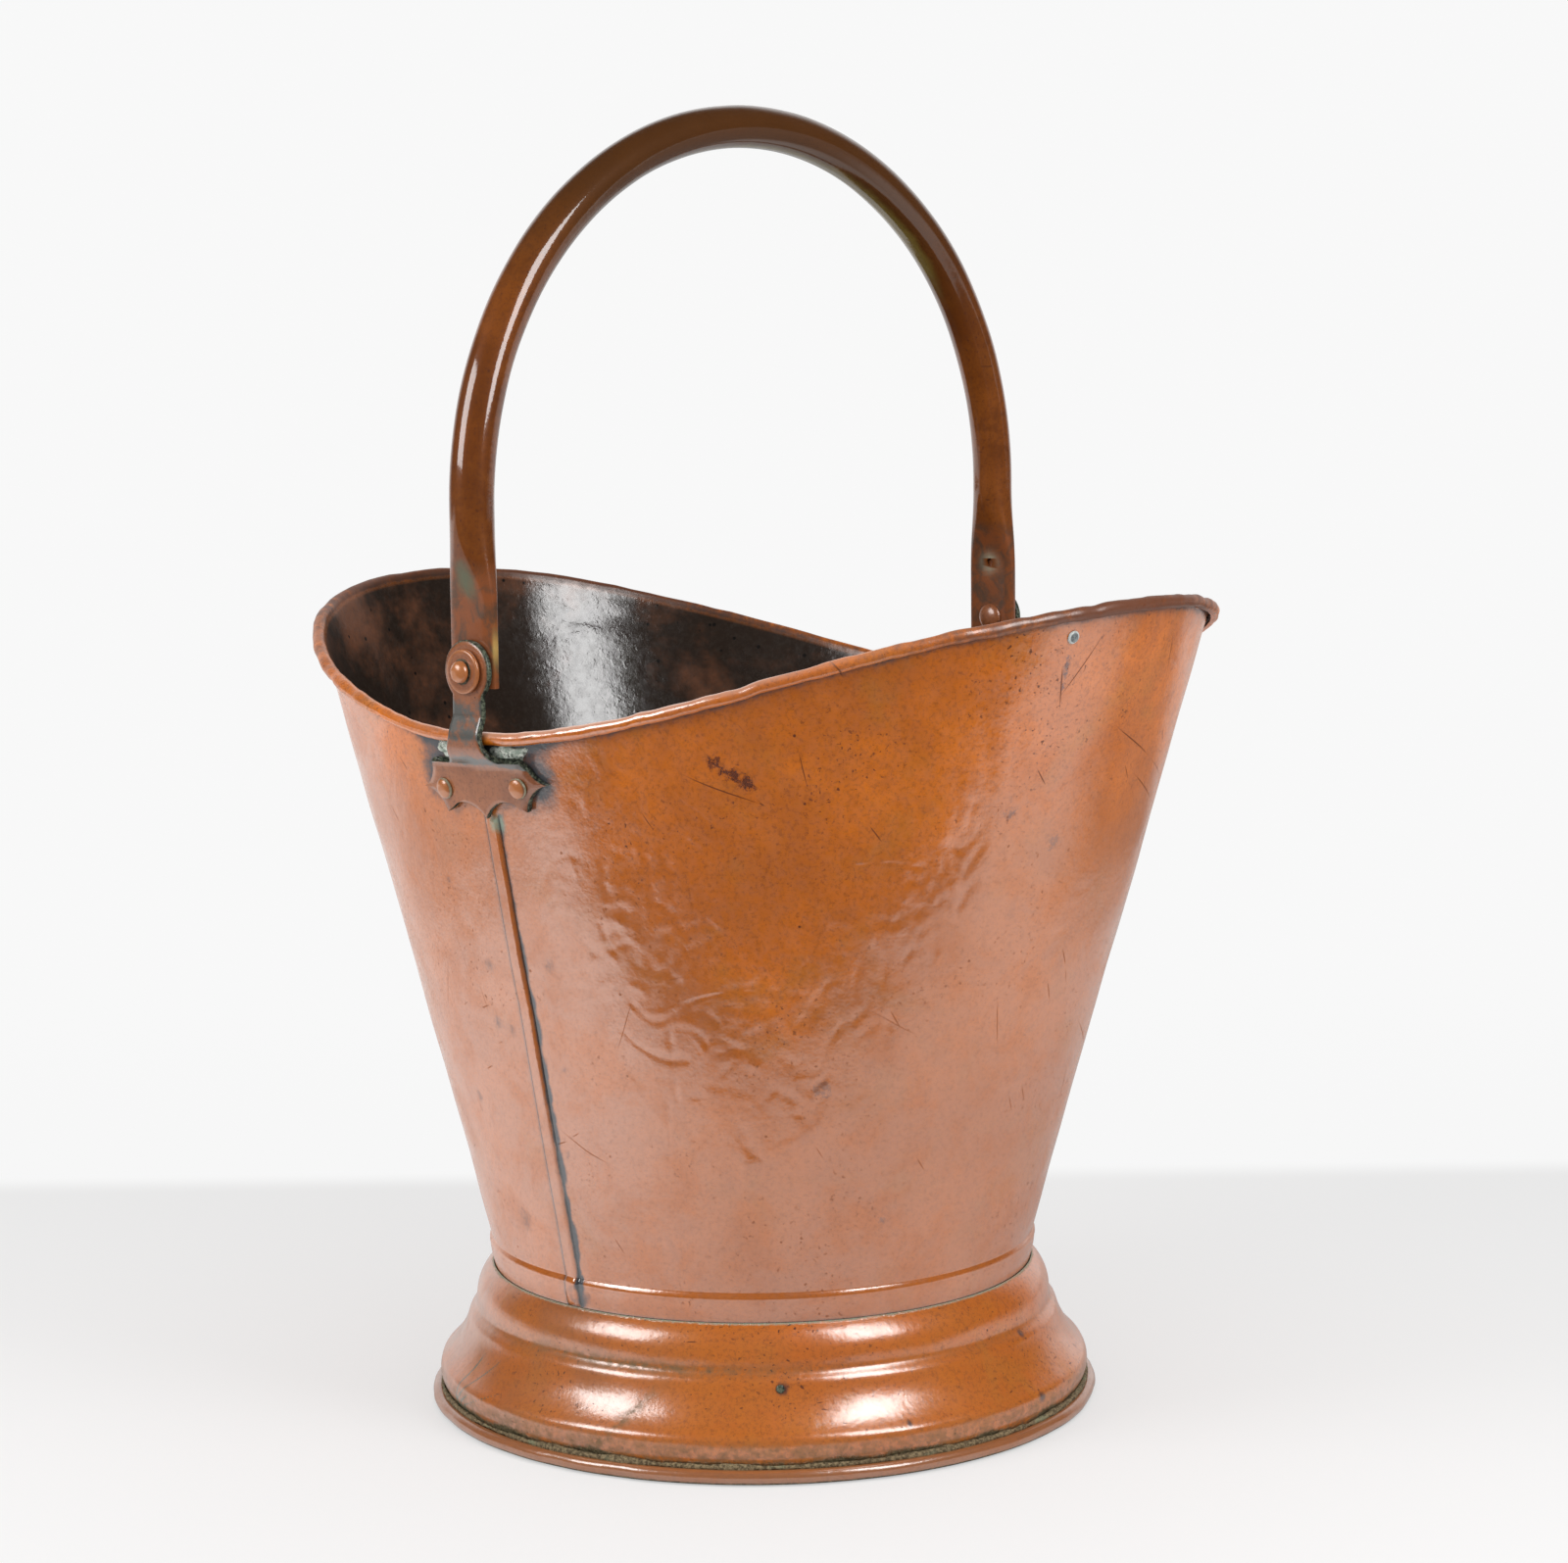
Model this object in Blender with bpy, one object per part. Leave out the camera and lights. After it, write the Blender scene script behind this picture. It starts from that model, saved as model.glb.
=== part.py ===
"""Copper coal bucket with a moulded foot, a wired saddle rim and a swing handle.

Metres, +Z up. The origin is the middle of the foot on the ground. The ears stand at -X and +X, so
the handle swings about an axis along X, and the rim rises to a lobe at -Y and at +Y.
"""

import math

import bmesh
import bpy
from mathutils import Matrix, Vector

MM = 0.001

# Sheet, wire and fits
SHEET = 1.0 * MM
WIRE_RADIUS = 1.3 * MM
CLEARANCE = 0.3 * MM
ROLL_INSIDE = WIRE_RADIUS + CLEARANCE
ROLL_OUTSIDE = ROLL_INSIDE + SHEET
ROLL_STEP = math.radians(36)
ROLL_STEPS = 8

# Foot
FOOT_RADIUS = 127.0 * MM
FOOT_HEIGHT = 52.0 * MM
COLLAR_DEPTH = 10.0 * MM
OVOLO_DROP = 14.0 * MM
OVOLO_REACH = 6.8 * MM
OVOLO_BULGE = 1.8 * MM
FILLET_DROP = 2.0 * MM
FILLET_REACH = 0.3 * MM
STEP_SIZE = 2.6 * MM
FLARE_DROP = 17.4 * MM
FLARE_REACH = 10.8 * MM
FLARE_HOLLOW = 1.7 * MM
SKIRT_BULGE = 1.1 * MM
SKIRT_TUCK = 4.0 * MM

# Body
NECK_RADIUS = 102.2 * MM
BASE_LEDGE = 7.0 * MM
BASE_THICKNESS = 1.2 * MM
SWAGE_HEIGHT = 59.8 * MM
SWAGE_HALF_WIDTH = 2.6 * MM
SWAGE_PROUD = 1.3 * MM
RIM_LOW = 261.5 * MM
RIM_RISE = 44.0 * MM
RIM_HALF_WIDTH = 145.2 * MM
RIM_HALF_LENGTH = 180.2 * MM
SEAM_WIDTH = 5.0 * MM
SEAM_PROUD = 1.1 * MM
SEAM_BEVEL = 0.4 * MM
SEAM_END = 1.0 * MM

# Ears
EAR_THICKNESS = 2.5 * MM
EAR_HEAD_RADIUS = 10.8 * MM
EAR_NECK_HALF = 7.6 * MM
EAR_CORNER = (23.5 * MM, -6.3 * MM)
EAR_TIP = (31.2 * MM, -15.9 * MM)
EAR_LOW_POINT = (20.2 * MM, -25.1 * MM)
EAR_KEEL = -27.5 * MM
EAR_KEEL_SCALLOP = 4.6 * MM
EAR_SIDE_SCALLOP = 2.2 * MM
EAR_SHOULDER_SCALLOP = 4.4 * MM
EAR_JOGGLE = 8.0 * MM
EAR_FOLD = 5.6 * MM
EAR_RIVET_SPACING = 36.4 * MM
EAR_RIVET_DROP = 16.5 * MM
EAR_RIVET_SHANK = 2.2 * MM
EAR_RIVET_HEAD = 3.8 * MM
EAR_RIVET_DOME = 2.1 * MM
EAR_RIVET_PEEN = 3.4 * MM

# Handle
PIVOT_RISE = 24.0 * MM
TUBE_RADIUS = 7.9 * MM
TUBE_WALL = 1.2 * MM
STRAP_WIDTH = 21.5 * MM
STRAP_THICKNESS = 3.6 * MM
STRAP_TAIL = 5.8 * MM
STRAP_ROUNDING = 0.4
STRAP_LENGTH = 18.0 * MM
SWELL_LENGTH = 34.0 * MM
LEG_LENGTH = 55.6 * MM
ARCH_HEIGHT = 134.2 * MM
VENT_RADIUS = 1.6 * MM
VENT_ABOVE_PIVOT = 22.0 * MM
PIVOT_SHANK = 3.0 * MM
PIVOT_HEAD = 5.3 * MM
PIVOT_HEAD_DEPTH = 2.2 * MM
PEEN_RADIUS = 3.9 * MM
PEEN_DEPTH = 3.5 * MM
ROVE_RADIUS = 7.7 * MM
ROVE_THICKNESS = 1.6 * MM

# Plugs that close two old holes
LOBE_PLUG_ANGLE = math.radians(260)
LOBE_PLUG_BELOW_RIM = 8.0 * MM
LOBE_PLUG_RADIUS = 2.3 * MM
FOOT_PLUG_ANGLE = math.radians(225)
FOOT_PLUG_RADIUS = 1.6 * MM
FOOT_PLUG_BELOW_STEP = 2.4 * MM
PLUG_LIP = 0.9 * MM
PLUG_HEAD = 0.8 * MM
PLUG_CHAMFER = 0.4 * MM

# Smoothness of the facets
RING_SIDES = 48
WIRE_SIDES = 6
TUBE_SIDES = 16
BORE_SIDES = 10
ARCH_STEPS = 22
RIVET_SIDES = 12
PIVOT_SIDES = 16
EAR_HEAD_STEPS = 6
DOME_STEPS = 3

# Places worked out from the sizes above
BODY_BOTTOM = FOOT_HEIGHT - COLLAR_DEPTH
EAR_SLOPE = (RIM_HALF_WIDTH - ROLL_INSIDE - NECK_RADIUS) / (RIM_LOW - SWAGE_HEIGHT)
LOBE_SLOPE = (RIM_HALF_LENGTH - ROLL_INSIDE - NECK_RADIUS) / (RIM_LOW + RIM_RISE - SWAGE_HEIGHT)
SEAM_BOTTOM = FOOT_HEIGHT + CLEARANCE
SEAM_TOP = RIM_LOW + EAR_KEEL - CLEARANCE
PIVOT_HEIGHT = RIM_LOW + PIVOT_RISE
HANDLE_SPAN = 2 * (RIM_HALF_WIDTH - ROLL_INSIDE)
STRAP_OUTSIDE = HANDLE_SPAN / 2 + STRAP_THICKNESS / 2
EAR_INSIDE = STRAP_OUTSIDE + CLEARANCE
ROVE_INSIDE = EAR_INSIDE + EAR_THICKNESS + CLEARANCE
PEEN_BASE = ROVE_INSIDE + ROVE_THICKNESS + CLEARANCE
FOOT_WIRE_RADIUS = FOOT_RADIUS - ROLL_OUTSIDE
FOOT_WIRE_HEIGHT = ROLL_OUTSIDE * math.cos(ROLL_STEP / 2)


def material(name, colour, roughness, metallic):
    """A Principled material."""
    mat = bpy.data.materials.new(name)
    mat.use_nodes = True
    shader = mat.node_tree.nodes["Principled BSDF"]
    shader.inputs["Base Color"].default_value = (*colour, 1.0)
    shader.inputs["Roughness"].default_value = roughness
    shader.inputs["Metallic"].default_value = metallic
    return mat


def add_object(name, bm, mat, origin=(0, 0, 0)):
    """Turn a bmesh in world coordinates into an object whose origin is at the given point."""
    bmesh.ops.recalc_face_normals(bm, faces=bm.faces)
    bmesh.ops.translate(bm, verts=bm.verts, vec=-Vector(origin))
    mesh = bpy.data.meshes.new(name)
    bm.to_mesh(mesh)
    bm.free()
    mesh.shade_smooth()
    mesh.set_sharp_from_angle(angle=math.radians(40))
    mesh.materials.append(mat)
    obj = bpy.data.objects.new(name, mesh)
    obj.location = origin
    bpy.context.collection.objects.link(obj)
    return obj


def cut(obj, cutter):
    """Subtract a cutter, which stays in the scene as a wire guide."""
    cutter.hide_render = True
    cutter.display_type = "WIRE"
    modifier = obj.modifiers.new(cutter.name, "BOOLEAN")
    modifier.operation = "DIFFERENCE"
    modifier.solver = "EXACT"
    modifier.object = cutter


def arc(start, end, bulge, steps):
    """Points on a circular arc after start up to end, bowed by bulge to the left of the chord."""
    chord = Vector(end) - Vector(start)
    left = Vector((-chord.y, chord.x)).normalized()
    half = chord.length / 2
    radius = (half * half + bulge * bulge) / (2 * bulge)
    centre = Vector(start) + chord / 2 + left * (bulge - radius)
    spoke = Vector(start) - centre
    sweep = 2 * math.copysign(math.atan2(half, abs(radius) - abs(bulge)), bulge)
    turns = [-sweep * k / steps for k in range(1, steps + 1)]
    return [centre + Matrix.Rotation(turn, 2) @ spoke for turn in turns]


def offset_path(path, distance):
    """An open path moved to its left by a distance, with mitred corners."""
    moved = []
    for k, point in enumerate(path):
        before = (point - path[k - 1]).normalized() if k > 0 else None
        after = (path[k + 1] - point).normalized() if k + 1 < len(path) else None
        along = (before or after) + (after or before)
        normal = Vector((-along.y, along.x)).normalized()
        edge = after or before
        stretch = normal.dot(Vector((-edge.y, edge.x)))
        moved.append(point + normal * distance / stretch)
    return moved


def roll(centre, radius, turn):
    """Points round a wire, from its inner side, turning over it (-1) or under it (+1)."""
    angles = [math.pi + turn * ROLL_STEP * k for k in range(ROLL_STEPS + 1)]
    return [centre + radius * Vector((math.cos(a), math.sin(a))) for a in angles]


def around(angle, point):
    """A point of a radial section, given as radius and height, at an angle from +X."""
    return Vector((point[0] * math.cos(angle), point[0] * math.sin(angle), point[1]))


def ring_angles():
    """Angles of the sections of every turned ring, half a step clear of the seam."""
    return [2 * math.pi * (k + 0.5) / RING_SIDES for k in range(RING_SIDES)]


def facet_sag(radius):
    """How far the middle of a flat facet lies inside the round surface that it stands for."""
    return radius * (1 - math.cos(math.pi / RING_SIDES))


def skin_rings(rings, closed):
    """Join equal rings of points by quads; an open run of rings gets end caps."""
    bm = bmesh.new()
    loops = [[bm.verts.new(p) for p in ring] for ring in rings]
    pairs = list(zip(loops, loops[1:] + loops[:1])) if closed else list(zip(loops, loops[1:]))
    for first, second in pairs:
        count = len(first)
        for k in range(count):
            bm.faces.new((first[k], first[(k + 1) % count], second[(k + 1) % count], second[k]))
    if not closed:
        bm.faces.new(loops[0])
        bm.faces.new(loops[-1])
    return bm


def turned_ring(section):
    """A closed section of radii and heights turned about Z."""
    return skin_rings([[around(a, p) for p in section] for a in ring_angles()], closed=True)


def turned_solid(profile, sides, frame):
    """A profile of radii and heights turned about the frame's Z axis, with both ends capped."""
    rings = []
    for radius, height in profile:
        angles = [2 * math.pi * k / sides for k in range(sides)]
        rings.append([frame @ Vector((radius * math.cos(a), radius * math.sin(a), height)) for a in angles])
    return skin_rings(rings, closed=False)


def axis_frame(point, direction):
    """A frame at a point with its Z axis along a direction."""
    return Matrix.Translation(point) @ Vector(direction).to_track_quat("Z", "Y").to_matrix().to_4x4()


def bore(name, frame, radius, bottom, top, sides=RIVET_SIDES):
    """A cylinder that cuts a hole."""
    bm = turned_solid([(radius, bottom), (radius, top)], sides, frame)
    return add_object(name, bm, bpy.data.materials["copper"])


def dome(radius, base, depth):
    """Profile of a domed rivet head, from its rim to a small flat on top."""
    turns = [math.pi / 2 * k / (DOME_STEPS + 1) for k in range(DOME_STEPS + 1)]
    return [(radius * math.cos(t), base + depth * math.sin(t)) for t in turns]


def rim_height(angle):
    """Height of the rim wire: lowest at the ears, highest at the lobes."""
    return RIM_LOW + RIM_RISE * (1 - math.cos(2 * angle)) / 2


def wall_radius(angle, height):
    """Outer radius of the oval cone, which flares least towards the ears."""
    slope = EAR_SLOPE + (LOBE_SLOPE - EAR_SLOPE) * (1 - math.cos(2 * angle)) / 2
    return NECK_RADIUS + slope * (height - SWAGE_HEIGHT)


def skin_radius(angle, height):
    """Outer radius of the sheet, with the upright neck and the swaged bead above it."""
    offset = min(abs(height - SWAGE_HEIGHT) / SWAGE_HALF_WIDTH, 1.0)
    bead = SWAGE_PROUD * math.cos(math.pi / 2 * offset)
    return max(NECK_RADIUS, wall_radius(angle, height)) + bead


def wall_point(angle, height):
    """A point on the outside of the cone."""
    return around(angle, (wall_radius(angle, height), height))


def wall_frame(angle, height):
    """A frame on the outside of the cone with Z pointing out along its normal."""
    nudge = 0.5 * MM
    across = wall_point(angle + nudge, height) - wall_point(angle - nudge, height)
    upward = wall_point(angle, height + nudge) - wall_point(angle, height - nudge)
    return axis_frame(wall_point(angle, height), across.cross(upward).normalized())


def rim_wire_centre(angle):
    """Centre of the rim wire, as radius and height."""
    height = rim_height(angle)
    return Vector((wall_radius(angle, height) + ROLL_INSIDE, height))


def body_section(angle, seam_arc):
    """Closed section of the sheet body; seam_arc is the column's distance from the seam's middle."""
    swage = [SWAGE_HEIGHT + SWAGE_HALF_WIDTH * k / 2 for k in range(-2, 3)]
    heights = [SEAM_BOTTOM, SEAM_BOTTOM + SEAM_BEVEL, *swage, SEAM_TOP - SEAM_END, SEAM_TOP]
    on_crest = seam_arc is not None and abs(seam_arc) < SEAM_WIDTH / 2
    outside = []
    for height in heights:
        radius = skin_radius(angle, height)
        turn = angle if seam_arc is None else math.pi + seam_arc / radius
        if on_crest and SEAM_BOTTOM < height < SEAM_TOP:
            radius += SEAM_PROUD
        outside.append(around(turn, (radius, height)))
    top = angle if seam_arc is None else math.pi + seam_arc / wall_radius(math.pi, RIM_LOW)
    wire = rim_wire_centre(top)
    hem = roll(wire, ROLL_INSIDE, -1) + roll(wire, ROLL_OUTSIDE, -1)[::-1]
    low = angle if seam_arc is None else math.pi + seam_arc / NECK_RADIUS
    inside = [(skin_radius(low, height) - SHEET, height) for height in reversed(swage)]
    ledge = [
        (NECK_RADIUS - SHEET, BODY_BOTTOM + SHEET),
        (NECK_RADIUS - BASE_LEDGE, BODY_BOTTOM + SHEET),
        (NECK_RADIUS - BASE_LEDGE, BODY_BOTTOM),
        (NECK_RADIUS, BODY_BOTTOM),
    ]
    return outside + [around(top, p) for p in hem] + [around(low, p) for p in inside + ledge]


def make_body_shell(mat):
    """Oval cone of sheet: base ledge, neck, swaged bead, lock seam and rolled saddle rim."""
    crest = SEAM_WIDTH / 2 - SEAM_BEVEL
    foot = SEAM_WIDTH / 2
    seam_columns = [body_section(math.pi, offset) for offset in (-foot, -crest, crest, foot)]
    columns = [body_section(angle, None) for angle in ring_angles()]
    half = RING_SIDES // 2
    bm = skin_rings(columns[:half] + seam_columns + columns[half:], closed=True)
    return add_object("body_shell", bm, mat)


def wire_section(centre):
    """Section of a wire round its centre."""
    turns = [2 * math.pi * k / WIRE_SIDES for k in range(WIRE_SIDES)]
    return [centre + WIRE_RADIUS * Vector((math.cos(t), math.sin(t))) for t in turns]


def make_rim_wire(mat):
    """Iron wire inside the rolled rim."""
    rings = [[around(a, p) for p in wire_section(rim_wire_centre(a))] for a in ring_angles()]
    return add_object("rim_wire", skin_rings(rings, closed=True), mat)


def make_foot_wire(mat):
    """Iron wire inside the foot's rolled edge."""
    section = wire_section(Vector((FOOT_WIRE_RADIUS, FOOT_WIRE_HEIGHT)))
    return add_object("foot_wire", turned_ring(section), mat)


def foot_corners():
    """Corners of the foot's outside, top to bottom: edge, ovolo, fillet, step, lip and tuck."""
    edge = Vector((NECK_RADIUS + CLEARANCE, FOOT_HEIGHT))
    ovolo = edge + Vector((OVOLO_REACH, -OVOLO_DROP))
    fillet = ovolo + Vector((FILLET_REACH, -FILLET_DROP))
    step = fillet + Vector((STEP_SIZE, -STEP_SIZE))
    lip = step + Vector((FLARE_REACH, -FLARE_DROP))
    tuck = Vector((FOOT_WIRE_RADIUS - ROLL_INSIDE - SHEET / 2, FOOT_WIRE_HEIGHT + SKIRT_TUCK))
    return edge, ovolo, fillet, step, lip, tuck


def foot_outline():
    """Outside of the foot from its top edge down to the wire."""
    edge, ovolo, fillet, step, lip, tuck = foot_corners()
    path = [edge, *arc(edge, ovolo, OVOLO_BULGE, 3), fillet, step]
    path += arc(step, lip, -FLARE_HOLLOW, 4)
    path += arc(lip, tuck, SKIRT_BULGE, 4)
    return path


def make_foot_ring(mat):
    """Spun foot of sheet with a collar round the body's neck and a wired bottom edge."""
    outside = foot_outline()
    wire = Vector((FOOT_WIRE_RADIUS, FOOT_WIRE_HEIGHT))
    hem = roll(wire, ROLL_INSIDE, 1) + roll(wire, ROLL_OUTSIDE, 1)[::-1]
    inside = offset_path(outside, -SHEET)[:0:-1]
    collar = NECK_RADIUS + CLEARANCE
    collar_foot = [
        Vector((collar + SHEET, FOOT_HEIGHT - 2 * SHEET)),
        Vector((collar + SHEET, BODY_BOTTOM)),
        Vector((collar, BODY_BOTTOM)),
    ]
    return add_object("foot_ring", turned_ring(outside + hem + inside + collar_foot), mat)


def make_base_disc(mat):
    """Flat bottom that lies on the body's ledge."""
    radius = NECK_RADIUS - SHEET - CLEARANCE
    low = BODY_BOTTOM + SHEET + CLEARANCE
    rings = []
    for height in (low, low + BASE_THICKNESS):
        rings.append([around(a, (radius, height)) for a in ring_angles()])
    return add_object("base_disc", skin_rings(rings, closed=False), mat)


def smooth_step(value):
    """0 to 1 with level ends."""
    value = min(max(value, 0.0), 1.0)
    return value * value * (3 - 2 * value)


def ear_stand(height):
    """Distance of the ear's inner face from the X origin, on the middle line: wall, bead, tongue."""
    wall = wall_radius(0, height) + CLEARANCE
    bead = RIM_HALF_WIDTH + ROLL_OUTSIDE + CLEARANCE
    outward = smooth_step((height - RIM_LOW + EAR_JOGGLE + SHEET) / EAR_JOGGLE)
    inward = smooth_step((height - RIM_LOW - SHEET) / EAR_JOGGLE)
    return wall + (bead - wall) * outward + (EAR_INSIDE - bead) * inward


def ear_point(across, height, layer):
    """A point of the bent ear at +X: layer 0 is the face on the wall, 1 the outer face."""
    nudge = 0.1 * MM
    slope = (ear_stand(height + nudge) - ear_stand(height - nudge)) / (2 * nudge)
    normal = Vector((1, 0, -slope)).normalized()
    radius = wall_radius(math.asin(across / RIM_HALF_WIDTH), height)
    hollow = wall_radius(0, height) - math.sqrt(radius * radius - across * across)
    hug = 1 - smooth_step((height - RIM_LOW + EAR_JOGGLE) / EAR_JOGGLE)
    point = Vector((ear_stand(height) - hollow * hug, across, height))
    return point + normal * EAR_THICKNESS * layer


def ear_outline():
    """Outline of the ear's blank seen from outside: scalloped plate, neck and round head."""
    corner, tip, low = [Vector((y, RIM_LOW + z)) for y, z in (EAR_CORNER, EAR_TIP, EAR_LOW_POINT)]
    keel = Vector((0, RIM_LOW + EAR_KEEL))
    neck = Vector((EAR_NECK_HALF, RIM_LOW + SHEET))
    half = arc(keel, low, EAR_KEEL_SCALLOP, 5)
    half += arc(low, tip, EAR_SIDE_SCALLOP, 4)
    half += arc(tip, corner, EAR_SIDE_SCALLOP, 4)
    half += arc(corner, neck, EAR_SHOULDER_SCALLOP, 5)
    pivot = Vector((0, PIVOT_HEIGHT))
    for k in range(-1, EAR_HEAD_STEPS + 1):
        turn = math.pi / 2 * k / EAR_HEAD_STEPS
        half.append(pivot + EAR_HEAD_RADIUS * Vector((math.cos(turn), math.sin(turn))))
    mirrored = [Vector((-p.x, p.y)) for p in reversed(half[:-1])]
    return [keel, *half, *mirrored]


def ear_blank():
    """The flat ear, cut along the lines where it bends."""
    bm = bmesh.new()
    bm.faces.new([bm.verts.new((0, p.x, p.y)) for p in ear_outline()])
    bends = [RIM_LOW - SHEET - EAR_JOGGLE * k / 4 for k in range(5)]
    bends += [RIM_LOW + SHEET + EAR_JOGGLE * k / 4 for k in range(5)]
    bends += [PIVOT_HEIGHT - EAR_FOLD, PIVOT_HEIGHT + EAR_FOLD]
    rivet = EAR_RIVET_SPACING / 2
    folds = [EAR_FOLD, 2 * EAR_FOLD, rivet - EAR_FOLD / 2, rivet + EAR_FOLD / 2]
    planes = [(Vector((0, 0, height)), Vector((0, 0, 1))) for height in bends]
    planes += [(Vector((0, side * fold, 0)), Vector((0, 1, 0))) for fold in folds for side in (-1, 1)]
    for point, normal in planes:
        geometry = bm.verts[:] + bm.edges[:] + bm.faces[:]
        bmesh.ops.bisect_plane(bm, geom=geometry, plane_co=point, plane_no=normal, dist=MM * 0.001)
    return bm


def make_ear(name, side, mat):
    """A scalloped plate on the wall whose neck steps over the rim to a tongue for the pivot."""
    blank = ear_blank()
    bm = bmesh.new()
    layers = []
    for layer in (0, 1):
        layers.append({v: bm.verts.new(ear_point(v.co.y, v.co.z, layer)) for v in blank.verts})
    for face in blank.faces:
        for layer in layers:
            bm.faces.new([layer[v] for v in face.verts])
    for edge in blank.edges:
        if edge.is_boundary:
            first, second = edge.verts
            bm.faces.new((layers[0][first], layers[0][second], layers[1][second], layers[1][first]))
    blank.free()
    bmesh.ops.triangulate(bm, faces=[f for f in bm.faces if len(f.verts) > 4])
    if side < 0:
        bmesh.ops.transform(bm, matrix=Matrix.Rotation(math.pi, 4, "Z"), verts=bm.verts)
    return add_object(name, bm, mat)


def ear_rivet_frame(side, hand):
    """Frame on the wall under an ear rivet: side is the ear's sign in X, hand the rivet's in Y."""
    height = RIM_LOW - EAR_RIVET_DROP
    spread = math.asin(EAR_RIVET_SPACING / 2 / wall_radius(0, height))
    turn = hand * spread if side > 0 else math.pi - hand * spread
    return wall_frame(turn, height)


def make_ear_rivet(name, frame, mat):
    """Domed rivet through the ear and the wall, peened flat inside."""
    head_base = EAR_THICKNESS + 2 * CLEARANCE
    inner = -SHEET - CLEARANCE - facet_sag(RIM_HALF_WIDTH)
    profile = [
        (EAR_RIVET_PEEN, inner - SHEET),
        (EAR_RIVET_PEEN, inner),
        (EAR_RIVET_SHANK, inner),
        (EAR_RIVET_SHANK, head_base),
        *dome(EAR_RIVET_HEAD, head_base, EAR_RIVET_DOME),
    ]
    return add_object(name, turned_solid(profile, RIVET_SIDES, frame), mat)


def handle_centre_line():
    """Stations up one leg, over the arch and down the other, in the plane of the handle."""
    half = HANDLE_SPAN / 2
    spring = PIVOT_HEIGHT + LEG_LENGTH
    swell = [STRAP_LENGTH + SWELL_LENGTH * k / 5 for k in range(6)]
    leg = [Vector((half, 0, PIVOT_HEIGHT + rise)) for rise in (-STRAP_TAIL, *swell)]
    arch = []
    for k in range(ARCH_STEPS + 1):
        turn = math.pi * k / ARCH_STEPS
        arch.append(Vector((half * math.cos(turn), 0, spring + ARCH_HEIGHT * math.sin(turn))))
    other_leg = [Vector((-p.x, 0, p.z)) for p in reversed(leg)]
    return leg + arch + other_leg


def handle_section(point, direction, inset, sides):
    """Section of the tube at a station: a flat strap low on the legs, round higher up."""
    rise = point.z - PIVOT_HEIGHT
    swell = smooth_step((rise - STRAP_LENGTH) / SWELL_LENGTH)
    depth = STRAP_THICKNESS / 2 + (TUBE_RADIUS - STRAP_THICKNESS / 2) * swell - inset
    width = STRAP_WIDTH / 2 + (TUBE_RADIUS - STRAP_WIDTH / 2) * swell - inset
    power = STRAP_ROUNDING + (1 - STRAP_ROUNDING) * swell
    outward = Vector((direction.z, 0, -direction.x))
    section = []
    for k in range(sides):
        turn = 2 * math.pi * k / sides
        c, s = math.cos(turn), math.sin(turn)
        out = math.copysign(abs(c) ** power, c) * depth
        along_y = math.copysign(abs(s) ** power, s) * width
        section.append(point + outward * out + Vector((0, along_y, 0)))
    return section


def handle_skin(stations, inset, sides):
    """The handle's outside, or the space inside it when inset."""
    rings = []
    for k, point in enumerate(stations):
        ahead = stations[min(k + 1, len(stations) - 1)]
        behind = stations[max(k - 1, 0)]
        rings.append(handle_section(point, (ahead - behind).normalized(), inset, sides))
    return skin_rings(rings, closed=False)


def make_handle(mat):
    """Hollow bail bent from tube, flattened into straps at the pivots, with a vent in one leg."""
    stations = handle_centre_line()
    pivot = Vector((0, 0, PIVOT_HEIGHT))
    handle = add_object("handle", handle_skin(stations, 0, TUBE_SIDES), mat, pivot)
    cavity = add_object("handle_cavity_cutter", handle_skin(stations[1:-1], TUBE_WALL, BORE_SIDES), mat)
    cut(handle, cavity)
    vent_place = Vector((0, 0, PIVOT_HEIGHT + VENT_ABOVE_PIVOT))
    vent = bore("handle_vent_cutter", axis_frame(vent_place, (1, 0, 0)), VENT_RADIUS, HANDLE_SPAN / 4,
                HANDLE_SPAN / 2)
    cut(handle, vent)
    return handle


def make_pivot_rivet(name, side, mat):
    """Rivet through strap, ear and rove: flat head inside the bucket, peened end outside."""
    frame = axis_frame((0, 0, PIVOT_HEIGHT), (side, 0, 0))
    inner = HANDLE_SPAN / 2 - STRAP_THICKNESS / 2 - CLEARANCE
    head = [(r, 2 * inner - z) for r, z in reversed(dome(PIVOT_HEAD, inner, PIVOT_HEAD_DEPTH))]
    profile = [
        *head,
        (PIVOT_SHANK, inner),
        (PIVOT_SHANK, PEEN_BASE),
        *dome(PEEN_RADIUS, PEEN_BASE, PEEN_DEPTH),
    ]
    return add_object(name, turned_solid(profile, PIVOT_SIDES, frame), mat)


def make_rove(name, side, mat):
    """Washer that the pivot rivet is peened over."""
    hole = PIVOT_SHANK + CLEARANCE
    section = [(hole, 0), (ROVE_RADIUS, 0), (ROVE_RADIUS, ROVE_THICKNESS), (hole, ROVE_THICKNESS)]
    frame = axis_frame((side * ROVE_INSIDE, 0, PIVOT_HEIGHT), (side, 0, 0))
    turns = [2 * math.pi * k / PIVOT_SIDES for k in range(PIVOT_SIDES)]
    rings = [[frame @ around(t, p) for p in section] for t in turns]
    return add_object(name, skin_rings(rings, closed=True), mat)


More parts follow.
